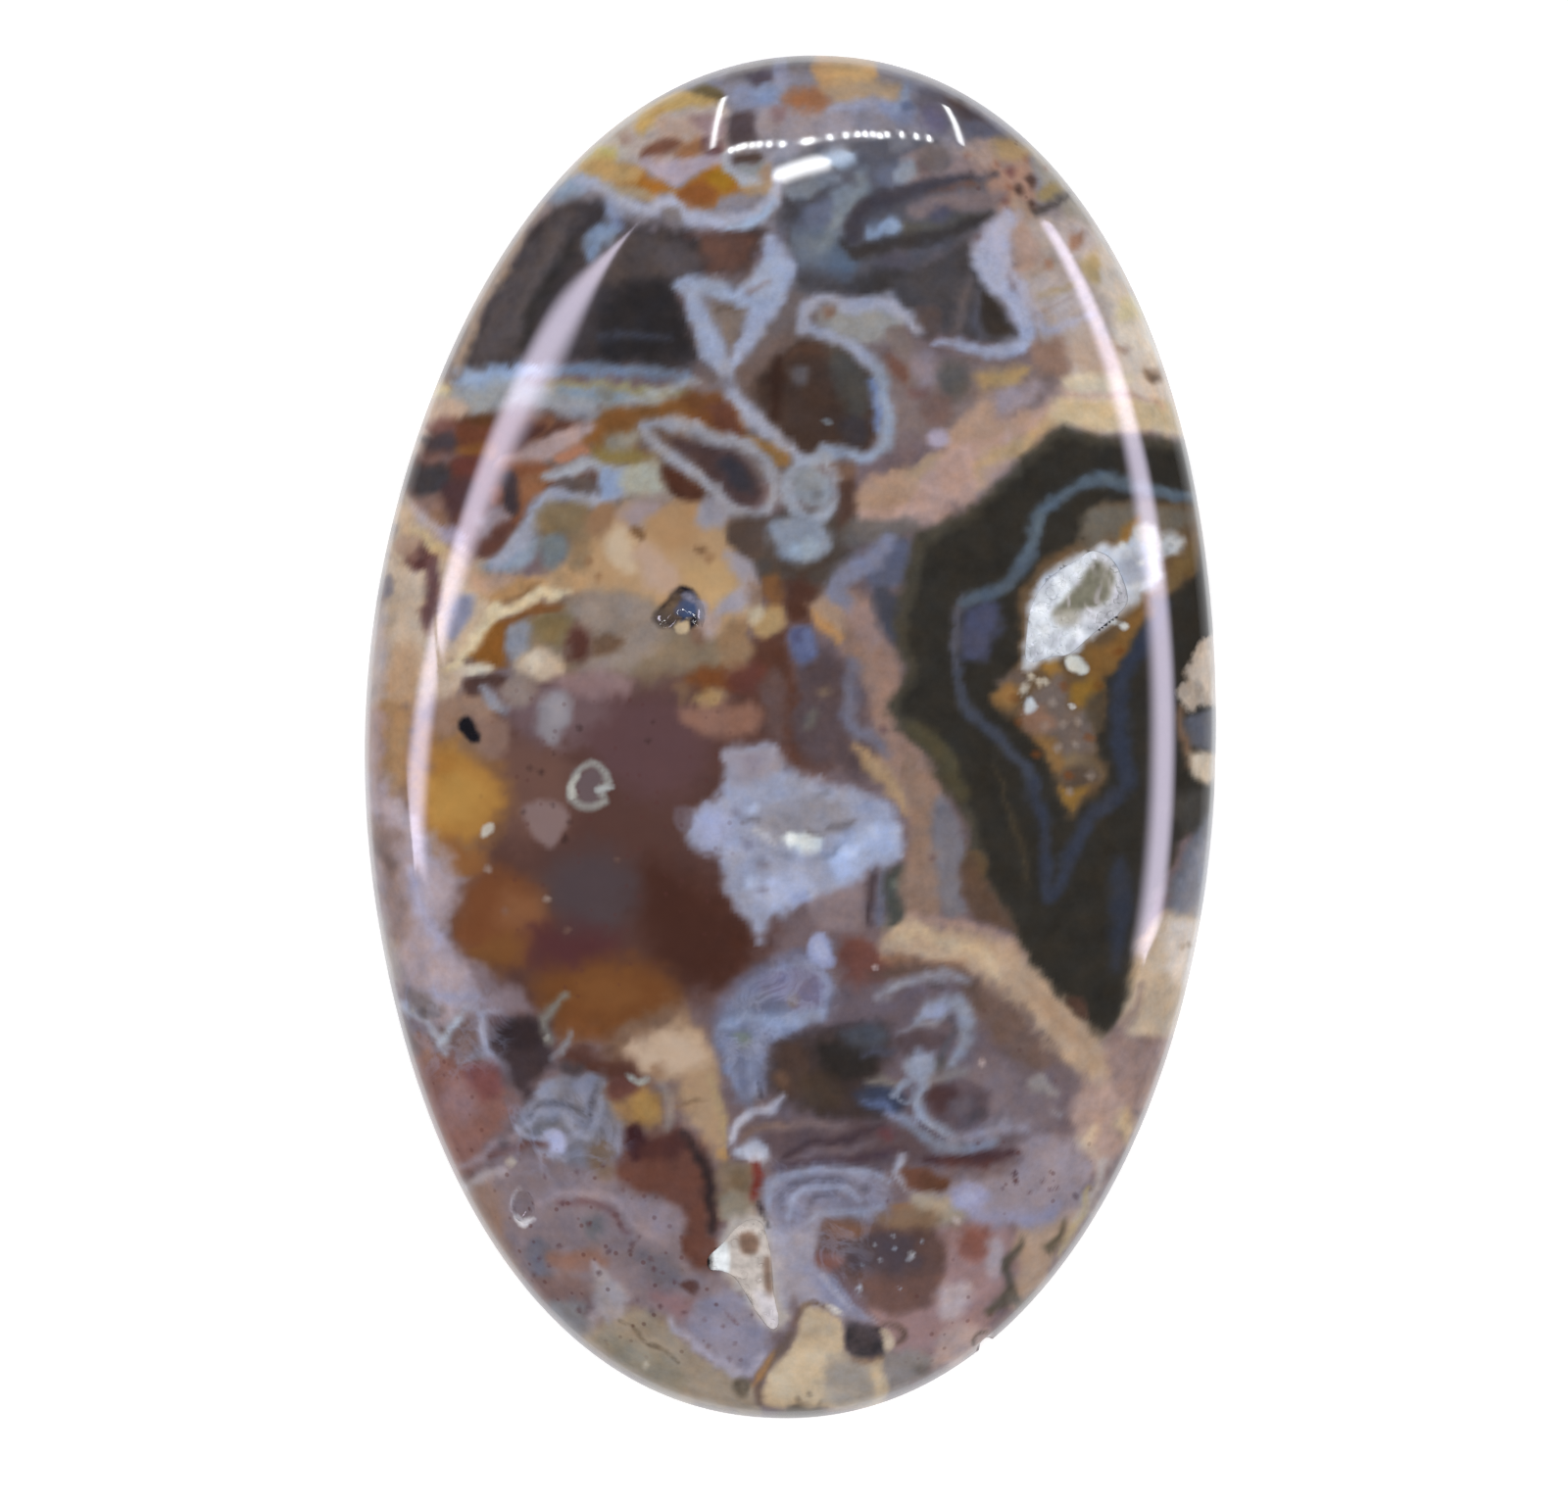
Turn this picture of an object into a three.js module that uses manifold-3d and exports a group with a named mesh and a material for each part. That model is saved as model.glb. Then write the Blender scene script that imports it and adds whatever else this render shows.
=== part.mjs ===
// A polished oval cabochon of stick agate, lying on its flat back with its dome up.
// Millimetres. +Z rises through the dome, +Y runs along the long way of the oval, and the
// origin is the middle of the flat back.
// The oval is cut by hand, so it leans a little and has slightly flattened stretches. Two small
// vugs break the polished dome, each lined with a crust of quartz points, beside two bare pits
// and a chip in the edge.

import * as THREE from "three";
import { mergeVertices, toCreasedNormals } from "three/addons/utils/BufferGeometryUtils.js";
import Module from "manifold-3d";

const wasm = await Module();
wasm.setup();

// Driving dimensions of the stone
const LONG_RADIUS = 24.9; // half the length of the oval, before it leans
const SHORT_RADIUS = 15.54; // half the width
const LEAN = THREE.MathUtils.degToRad(-2); // the far end of the long axis leans towards +X
const FULLNESS = 2.11; // exponent of the oval: 2 is an ellipse, more is fuller at the shoulders
const THREE_FLATS = { share: -0.0067, turn: THREE.MathUtils.degToRad(2.6) };
const FOUR_FLATS = { share: -0.0052, turn: THREE.MathUtils.degToRad(-53) };
const THICKNESS = 6; // from the back to the crown of the dome
const GIRDLE_TOP = 1.3; // where the straight side ends and the dome begins
const BACK_BEVEL = 0.45; // ground off the sharp edge of the back
const SIDE_DRAFT = 0.012; // share of the radius by which the side leans in at the girdle's top
const DOME_SQUARENESS = 2.15; // exponent of the dome's section along the radius

// How finely the stone is faceted
const AROUND = 96;
const DOME_RINGS = 16;
const CREASE = 0.5; // radians between faces that are shaded as one surface

// The larger vug, on the right-hand shoulder, and the narrow one near the foot of the oval.
// Each outline is the mouth on the polished surface, as a closed smooth curve through its points.
const SHOULDER_VUG = {
  mouth: [
    [11.07, 6.81],
    [10.46, 6.46],
    [9.74, 6.03],
    [9.16, 5.45],
    [8.81, 4.73],
    [8.66, 3.84],
    [8.68, 2.75],
    [9.63, 2.95],
    [10.24, 3.05],
    [11.17, 3.84],
    [12.18, 4.66],
    [12.32, 5.31],
    [11.82, 6.46],
  ],
  depth: 1.0,
  crust: 0.3,
  point: { radius: 0.25, length: 0.55, lean: 0.55 },
  pitch: 0.46,
};
const FOOT_VUG = {
  mouth: [
    [-3.03, -19.08],
    [-2.53, -18.58],
    [-2.03, -18.01],
    [-1.52, -17.68],
    [-1.06, -17.79],
    [-0.84, -18.36],
    [-0.7, -19.08],
    [-0.6, -20.4],
    [-0.41, -21.41],
    [-0.66, -21.7],
    [-1.13, -21.23],
    [-1.95, -19.91],
    [-2.46, -19.58],
    [-2.96, -19.51],
  ],
  depth: 0.75,
  crust: 0.24,
  point: { radius: 0.21, length: 0.38, lean: 0.5 },
  pitch: 0.44,
};
const CRUST_GAP = 0.06; // clearance between a crust and the stone that carries it
const POLISH_DEPTH = 0.08; // how far below the dome the tallest quartz points stop

// Bare pits: the middle of each mouth, its half sizes, and how it is turned
const PITS = [
  { x: -4.02, y: 4.74, half: [0.8, 0.64, 0.42], turn: 0.55 },
  { x: -9.81, y: -17.18, half: [0.42, 0.56, 0.45], turn: 0 },
];

// A chip out of the edge near the foot, on the right
const CHIP = { x: 7.2, y: -22.3, radius: 0.46, flat: 0.7, turn: 0.7 };

// Radius of the girdle's outline at an angle from +X
function outlineRadius(angle) {
  const across = Math.abs(Math.cos(angle - LEAN)) / SHORT_RADIUS;
  const along = Math.abs(Math.sin(angle - LEAN)) / LONG_RADIUS;
  const oval = (across ** FULLNESS + along ** FULLNESS) ** (-1 / FULLNESS);
  const threes = THREE_FLATS.share * Math.cos(3 * (angle - THREE_FLATS.turn));
  const fours = FOUR_FLATS.share * Math.cos(4 * (angle - FOUR_FLATS.turn));
  return oval * (1 + threes + fours);
}

// Height of the dome at a share of the way from the crown to the edge
function domeHeight(share) {
  const drop = Math.min(1, share) ** DOME_SQUARENESS;
  return GIRDLE_TOP + (THICKNESS - GIRDLE_TOP) * Math.sqrt(1 - drop);
}

// Half section of the stone: radius as a share of the outline, and height
function stoneProfile() {
  const bevelShare = BACK_BEVEL / SHORT_RADIUS;
  const points = [
    new THREE.Vector2(0, 0),
    new THREE.Vector2(1 - bevelShare, 0),
    new THREE.Vector2(1, BACK_BEVEL),
  ];
  for (let i = 0; i <= DOME_RINGS; i++) {
    // Rings crowd towards the edge, where the dome turns over fastest
    const share = i === DOME_RINGS ? 0 : Math.cos((i / DOME_RINGS) * (Math.PI / 2));
    points.push(new THREE.Vector2(share * (1 - SIDE_DRAFT), domeHeight(share)));
  }
  return points;
}

// A closed three.js geometry as a solid that can be cut and joined
function solidOf(geometry) {
  const bare = geometry.clone();
  bare.deleteAttribute("normal");
  bare.deleteAttribute("uv");
  const merged = mergeVertices(bare, 1e-4);
  return new wasm.Manifold(
    new wasm.Mesh({
      numProp: 3,
      vertProperties: new Float32Array(merged.attributes.position.array),
      triVerts: new Uint32Array(merged.index.array),
    }),
  );
}

// A solid back as a geometry, shaded flat across its sharp edges only
function geometryOf(solid) {
  const mesh = solid.getMesh();
  const geometry = new THREE.BufferGeometry();
  geometry.setAttribute("position", new THREE.BufferAttribute(mesh.vertProperties, 3));
  geometry.setIndex(new THREE.BufferAttribute(mesh.triVerts, 1));
  return toCreasedNormals(geometry, CREASE);
}

// The stone before it is pitted: a turned form whose radius follows the hand-cut oval
function polishedBlank() {
  const turned = new THREE.LatheGeometry(stoneProfile(), AROUND).rotateX(Math.PI / 2);
  const places = turned.attributes.position;
  for (let i = 0; i < places.count; i++) {
    const [x, y] = [places.getX(i), places.getY(i)];
    const radius = outlineRadius(Math.atan2(y, x));
    places.setXY(i, x * radius, y * radius);
  }
  turned.computeBoundingBox();
  const middle = turned.boundingBox.getCenter(new THREE.Vector3());
  return { solid: solidOf(turned.translate(-middle.x, -middle.y, 0)), middle };
}

// An upright prism over a smooth closed outline, drawn in by an inset all round
function prism(mouth, inset) {
  const corners = mouth.map(([x, y]) => new THREE.Vector3(x, y, 0));
  const curve = new THREE.CatmullRomCurve3(corners, true);
  const middle = corners
    .reduce((sum, corner) => sum.add(corner), new THREE.Vector3())
    .divideScalar(corners.length);
  const outline = curve.getPoints(mouth.length * 2).slice(0, -1);
  const drawn = outline.map((point) => {
    const inwards = middle.clone().sub(point).setLength(inset);
    return new THREE.Vector2(point.x + inwards.x, point.y + inwards.y);
  });
  const shape = new THREE.Shape(drawn);
  return solidOf(
    new THREE.ExtrudeGeometry(shape, { depth: 2 * THICKNESS, bevelEnabled: false, steps: 1 }),
  );
}

// The blank lowered by a depth, so that its top runs that far below the polished surface
function sunk(blank, depth) {
  return blank.translate([0, 0, -depth]);
}

// The hollow of a vug: its mouth's prism down to a floor that follows the dome
function vugHollow(blank, vug) {
  return prism(vug.mouth, 0).subtract(sunk(blank, vug.depth));
}

// One six-sided quartz point standing on its root
function quartzPoint({ radius, length }) {
  const tip = radius * 1.2;
  const prismPart = new THREE.CylinderGeometry(radius, radius, length, 6, 1)
    .rotateX(Math.PI / 2)
    .translate(0, 0, length / 2);
  const tipPart = new THREE.ConeGeometry(radius, tip, 6, 1)
    .rotateX(Math.PI / 2)
    .translate(0, 0, length + tip / 2 - 1e-3);
  return solidOf(prismPart).add(solidOf(tipPart));
}

// Height of the blank's polished surface over a place, from the same rule that shaped it
function surfaceHeight(x, y, middle) {
  const [px, py] = [x + middle.x, y + middle.y];
  const reach = outlineRadius(Math.atan2(py, px)) * (1 - SIDE_DRAFT);
  return domeHeight(Math.hypot(px, py) / reach);
}

// The lining of a vug: a thin bed of quartz with points leaning every way, cut off where the
// stone was polished
function vugCrust({ solid: blank, middle }, vug) {
  const walls = prism(vug.mouth, CRUST_GAP);
  const bedTop = vug.depth - CRUST_GAP - vug.crust;
  let crust = walls.intersect(sunk(blank, bedTop)).subtract(sunk(blank, vug.depth - CRUST_GAP));
  const box = new THREE.Box2().setFromPoints(vug.mouth.map(([x, y]) => new THREE.Vector2(x, y)));
  const size = box.getSize(new THREE.Vector2());
  const { pitch } = vug;
  const root = quartzPoint(vug.point);
  for (let row = 0; row * pitch < size.y; row++) {
    for (let column = 0; column * pitch < size.x; column++) {
      // A fixed wander off the square grid, and a lean that changes from point to point
      const wander = Math.sin(row * 12.9 + column * 78.2);
      const x = box.min.x + (column + 0.5 + 0.35 * wander) * pitch;
      const y = box.min.y + (row + 0.5 + 0.35 * Math.cos(row * 39.3 + column * 11.1)) * pitch;
      const z = surfaceHeight(x, y, middle) - vug.depth + CRUST_GAP + vug.crust / 3;
      const leanX = THREE.MathUtils.radToDeg(vug.point.lean * Math.sin(7 * x + 3 * y));
      const leanY = THREE.MathUtils.radToDeg(vug.point.lean * Math.cos(4 * x - 9 * y));
      crust = crust.add(root.rotate([leanX, leanY, 60 * wander]).translate([x, y, z]));
    }
  }
  const room = walls.intersect(sunk(blank, POLISH_DEPTH));
  return crust.intersect(room).subtract(sunk(blank, vug.depth - CRUST_GAP));
}

// An ellipsoid that presses a bare pit into the polished surface
function pitCutter({ x, y, half, turn }, middle) {
  const ball = new THREE.SphereGeometry(1, 16, 10).scale(...half).rotateZ(turn);
  return solidOf(ball.translate(x, y, surfaceHeight(x, y, middle)));
}

// A rough lump that bites the chip out of the edge
function chipCutter({ x, y, radius, flat, turn }) {
  const lump = new THREE.IcosahedronGeometry(radius, 0).scale(1, flat, 2).rotateZ(turn);
  return solidOf(lump.translate(x, y, GIRDLE_TOP));
}

// The whole stone, with its vugs, pits and chip
function cabochonSolid({ solid: blank, middle }) {
  let stone = blank;
  for (const vug of [SHOULDER_VUG, FOOT_VUG]) stone = stone.subtract(vugHollow(blank, vug));
  for (const pit of PITS) stone = stone.subtract(pitCutter(pit, middle));
  return stone.subtract(chipCutter(CHIP));
}

// The largest piece of a solid, without the crumbs that trimming leaves
function mainPiece(solid) {
  const pieces = solid.decompose();
  return pieces.reduce((best, piece) => (piece.volume() > best.volume() ? piece : best));
}

function namedMesh(name, solid, material) {
  const mesh = new THREE.Mesh(geometryOf(mainPiece(solid)), material);
  mesh.name = name;
  return mesh;
}

const agate = new THREE.MeshStandardMaterial({ color: 0x8a7266, roughness: 0.08, metalness: 0 });
const druse = new THREE.MeshStandardMaterial({ color: 0xd6d4dc, roughness: 0.25, metalness: 0 });

const blank = polishedBlank();
const cabochon = new THREE.Group();
cabochon.add(namedMesh("cabochon", cabochonSolid(blank), agate));
cabochon.add(namedMesh("shoulder_druse", vugCrust(blank, SHOULDER_VUG), druse));
cabochon.add(namedMesh("foot_druse", vugCrust(blank, FOOT_VUG), druse));

export default cabochon;
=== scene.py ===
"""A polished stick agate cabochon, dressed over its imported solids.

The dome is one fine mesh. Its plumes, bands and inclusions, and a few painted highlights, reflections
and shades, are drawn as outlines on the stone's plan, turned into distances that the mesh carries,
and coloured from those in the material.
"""

import math

import bmesh
import bpy
import numpy as np
from mathutils import Euler, Matrix, Vector


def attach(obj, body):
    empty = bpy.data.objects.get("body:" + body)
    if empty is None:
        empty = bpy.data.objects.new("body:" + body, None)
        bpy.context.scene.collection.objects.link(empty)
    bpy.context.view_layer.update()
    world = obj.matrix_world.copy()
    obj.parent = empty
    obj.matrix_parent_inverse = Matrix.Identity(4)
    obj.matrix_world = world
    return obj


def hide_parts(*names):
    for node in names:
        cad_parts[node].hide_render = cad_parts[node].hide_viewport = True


bl_info = {
    "name": "Stick Agate Cabochon",
    "version": (1, 0, 0),
    "blender": (4, 5, 0),
    "location": "View3D > Sidebar > Agate",
    "description": "Builds a polished oval agate with crystal-lined vugs",
    "category": "Add Mesh",
}

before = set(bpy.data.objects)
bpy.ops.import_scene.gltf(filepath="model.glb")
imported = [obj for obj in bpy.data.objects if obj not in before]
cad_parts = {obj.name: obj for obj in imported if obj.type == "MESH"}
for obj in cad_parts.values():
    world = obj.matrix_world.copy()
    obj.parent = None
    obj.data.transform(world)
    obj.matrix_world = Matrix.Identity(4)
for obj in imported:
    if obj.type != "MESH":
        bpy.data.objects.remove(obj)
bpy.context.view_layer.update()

MM = 0.001

# The hand-cut oval, as in the solid, in mm
LONG_RADIUS = 24.9
SHORT_RADIUS = 15.54
LEAN = math.radians(-2)
FULLNESS = 2.11
THREE_FLATS = (-0.0067, math.radians(2.6))
FOUR_FLATS = (-0.0052, math.radians(-53))
THICKNESS = 6.0
GIRDLE_TOP = 1.3
BACK_BEVEL = 0.45
SIDE_DRAFT = 0.012
DOME_SQUARENESS = 2.15

# The plan that the markings are drawn on is what the camera sees: x runs right, y runs down, and
# its scale holds at the height of the girdle
PLAN_SCALE = 27.88
PLAN_LEVEL = 1.0
PLAN_MIDDLE = (806.5, 752.0)
PLAN_VIEW = (800.0, 769.0)
PLAN_WIDTH = 1600.0
LENS = 120.0
SENSOR = 36.0
EYE_X = (PLAN_VIEW[0] - PLAN_MIDDLE[0]) / PLAN_SCALE
EYE_Y = (PLAN_MIDDLE[1] - PLAN_VIEW[1]) / PLAN_SCALE
EYE_RANGE = PLAN_WIDTH / PLAN_SCALE * LENS / SENSOR

# The stone under every marking, and the kinds and settings that the markings' text names
PLAIN_STONE = "#6f5f63"
KINDS = ("vein", "loop", "flecks")
SETTINGS = {"s": "soft", "o": "opacity", "w": "wobble"}


def read_points(words):
    return [[float(number) for number in word.split(",")] for word in words]


def filled(points, **settings):
    """A filled shape from the text of its points."""
    return dict(kind="area", width=0.0, points=read_points(points.split()), **settings)


def read_markings(text):
    """The markings that a text lists, one to a line; an indented line carries on the last one.

    A line holds the kind, unless it is a filled area, then the colour, the size and the points.
    The size is how far each way an area's edge is softened, the width of a vein or a loop, or how
    far flecks are across. Before the points, s gives a softness, o an opacity and w how far the
    edge wanders. A point's third number is the line's own width there.
    """
    made = []
    for line in text.replace("\n ", " ").splitlines():
        words = line.split()
        if not words or words[0] == "#":
            continue
        kind = words.pop(0) if words[0] in KINDS else "area"
        colour, size = words.pop(0), float(words.pop(0))
        soft, opacity = {"area": (size, 1.0), "flecks": (2.5, 0.9)}.get(kind, (3.0, 1.0))
        marking = dict(kind=kind, colour=colour, soft=soft, opacity=opacity, wobble=None)
        marking["width"] = 0.0 if kind == "area" else size
        while "," not in words[0]:
            setting = words.pop(0)
            marking[SETTINGS[setting[0]]] = float(setting[1:])
        points = read_points(words)
        if kind == "flecks":
            reach = size / 2
            for x, y in points:
                corners = [[x - reach, y], [x, y - reach], [x + reach, y], [x, y + reach]]
                made.append({**marking, "kind": "area", "width": 0.0, "points": corners})
        else:
            made.append({**marking, "points": points})
    return made


def control_points(marking):
    """The marking's points as rows of x, y and half width on the plan."""
    rows = [row if len(row) == 3 else [*row, marking["width"]] for row in marking["points"]]
    return np.array(rows) * (1, 1, 0.5)


def smooth_curve(marking, steps=5):
    """A smooth curve through the marking's points, with its first point repeated if it closes."""
    knots = control_points(marking)
    if marking["kind"] == "vein":
        knots = np.vstack([2 * knots[0] - knots[1], knots, 2 * knots[-1] - knots[-2]])
    else:
        knots = np.vstack([knots[-1], knots, knots[0], knots[1]])
    t = np.linspace(0, 1, steps, endpoint=False)[:, None]
    spans = []
    for before, start, end, after in zip(knots, knots[1:], knots[2:], knots[3:]):
        linear = end - before
        square = 2 * before - 5 * start + 4 * end - after
        cube = 3 * start - before - 3 * end + after
        spans.append(start + 0.5 * t * (linear + t * (square + t * cube)))
    curve = np.vstack([*spans, knots[-2]])
    curve[:, 2] = np.maximum(curve[:, 2], 0)
    return curve


def edge_distance(places, curve):
    """How far places lie from the curve's edge, in plan units."""
    nearest = np.full(len(places), np.inf)
    for (x0, y0, w0), (x1, y1, w1) in zip(curve, curve[1:]):
        run = np.array([x1 - x0, y1 - y0])
        length = max(run @ run, 1e-9)
        offset = places - (x0, y0)
        along = np.clip(offset @ run / length, 0, 1)
        gap = np.hypot(offset[:, 0] - along * run[0], offset[:, 1] - along * run[1])
        nearest = np.minimum(nearest, gap - (w0 + along * (w1 - w0)))
    return nearest


def within(places, curve):
    """Which places lie inside a closed curve."""
    inside = np.zeros(len(places), bool)
    x, y = places.T
    for (x0, y0, _), (x1, y1, _) in zip(curve, curve[1:]):
        if y0 == y1:
            continue
        crosses = (y0 > y) != (y1 > y)
        inside ^= crosses & (x < (x1 - x0) * (y - y0) / (y1 - y0) + x0)
    return inside


def signed_distance(places, marking, reach):
    """Indices of the places near a marking, and their distance from its edge, negative inside."""
    curve = smooth_curve(marking)
    margin = reach + curve[:, 2].max()
    low = curve[:, :2].min(axis=0) - margin
    high = curve[:, :2].max(axis=0) + margin
    near = np.flatnonzero(((places > low) & (places < high)).all(axis=1))
    distance = edge_distance(places[near], curve)
    if marking["kind"] == "area":
        distance = np.where(within(places[near], curve), -distance, distance)
    return near, distance


def smooth_step(value):
    value = np.clip(value, 0, 1)
    return value * value * (3 - 2 * value)


def drift(places, size, seed):
    """Smooth noise from -1 to 1 over the plan, with features of one size."""
    lattice = np.random.default_rng(seed).uniform(-1, 1, (256, 256))
    cell, part = np.divmod(places / size, 1)
    x, y = cell.astype(int).T % 255
    u, v = smooth_step(part).T
    low = lattice[x, y] * (1 - u) + lattice[x + 1, y] * u
    high = lattice[x, y + 1] * (1 - u) + lattice[x + 1, y + 1] * u
    return low * (1 - v) + high * v


def stirred(places, amount, size, seed):
    """The places moved about a little, so that drawn outlines turn irregular."""
    across = drift(places, size, seed) + 0.5 * drift(places, size / 2, seed + 1)
    down = drift(places, size, seed + 2) + 0.5 * drift(places, size / 2, seed + 3)
    return places + amount * np.stack([across, down], axis=1)


# Noises that make outlines irregular: how far each moves them, its size and its seed
GROUND_NOISE = ((7.0, 34, 11), (3.4, 13, 15))
SOFT_NOISE = ((2.6, 24, 23), (1.8, 11, 27))
CRISP_NOISE = ((2.0, 21, 31), (1.1, 10, 35))
# Noise that makes soft edges wander: its strengths, sizes and seeds
RAGGED_NOISE = ((1.0, 9, 21), (0.6, 5, 22))


def loosened(places, noises):
    for noise in noises:
        places = stirred(places, *noise)
    return places


def srgb(colour):
    """A hex colour as sRGB numbers from 0 to 1."""
    text = colour.lstrip("#")
    return np.array([int(text[i : i + 2], 16) / 255 for i in (0, 2, 4)])


def to_linear(values):
    """sRGB numbers as linear light."""
    values = np.asarray(values, float)
    return np.where(values <= 0.04045, values / 12.92, ((values + 0.055) / 1.055) ** 2.4)


# The least softness that the mesh's vertices can carry by themselves, in plan units
MESH_SOFTNESS = 4.6


def in_material(marking):
    """Whether a marking is crisp enough to be drawn in the material, and not on the mesh alone."""
    return marking["soft"] < MESH_SOFTNESS


def weight_of(marking, distance):
    """How much of a marking's colour shows at distances from its edge."""
    return smooth_step(0.5 - distance / (2 * marking["soft"])) * marking["opacity"]


def ground_colours(places):
    """The soft colours under the crisp markings, laid one over another, as sRGB."""
    colours = np.tile(srgb(PLAIN_STONE), (len(places), 1))
    ragged = sum(share * drift(places, size, seed) for share, size, seed in RAGGED_NOISE)
    loose, close = loosened(places, GROUND_NOISE), loosened(places, SOFT_NOISE)
    layers = [(marking, loose) for marking in GROUND]
    layers += [(marking, close) for marking in MARKS if not in_material(marking)]
    for marking, spots in layers:
        soft = marking["soft"]
        wobble = 0.5 * soft if marking["wobble"] is None else marking["wobble"]
        near, distance = signed_distance(spots, marking, soft + wobble)
        distance += wobble * 0.6 * ragged[near]
        weight = weight_of(marking, distance)
        colours[near] += weight[:, None] * (srgb(marking["colour"]) - colours[near])
    return colours


# Where no crisp marking is near, and how far a crisp edge wanders if its marking doesn't say
FAR = 60.0
DEFAULT_WOBBLE = 1.8
# How far past its own softness a crisp marking's distances are kept
LEVEL_MARGIN = 7


def marking_levels(places):
    """Spreads the markings over as few levels as let each lie over those drawn before it.

    Each level has, for every place, the (distance, softness, wobble) of its nearest marking, and
    that marking's colour and opacity.
    """
    loose = loosened(places, CRISP_NOISE)
    heaped = np.zeros(len(places), int)
    levels = []
    for marking in MARKS:
        if not in_material(marking):
            continue
        wobble = DEFAULT_WOBBLE if marking["wobble"] is None else marking["wobble"]
        near, distance = signed_distance(loose, marking, marking["soft"] + wobble + LEVEL_MARGIN)
        covered = near[distance < 1]
        level = heaped[covered].max(initial=0)
        heaped[covered] = level + 1
        if level == len(levels):
            levels.append((np.tile((FAR, 2.0, 0.0), (len(places), 1)), np.zeros((len(places), 4))))
        form, tint = levels[level]
        wins = distance < form[near, 0]
        chosen = near[wins]
        form[chosen, 0] = distance[wins]
        form[chosen, 1:] = (marking["soft"], wobble)
        tint[chosen] = (*to_linear(srgb(marking["colour"])), marking["opacity"])
    return levels


def zone_strength(places, zones):
    """How strongly a fine texture shows at places."""
    strength = np.zeros(len(places))
    for region in zones:
        near, distance = signed_distance(places, region, region["soft"])
        strength[near] = np.maximum(strength[near], weight_of(region, distance))
    return strength


def texture_weights(places):
    """Strengths of the dark dots, pale lace and fine banding at places, and how calm it is."""
    zones = (SPECKLED, LACED, BANDED, CALM)
    return np.column_stack([zone_strength(places, regions) for regions in zones])


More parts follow.
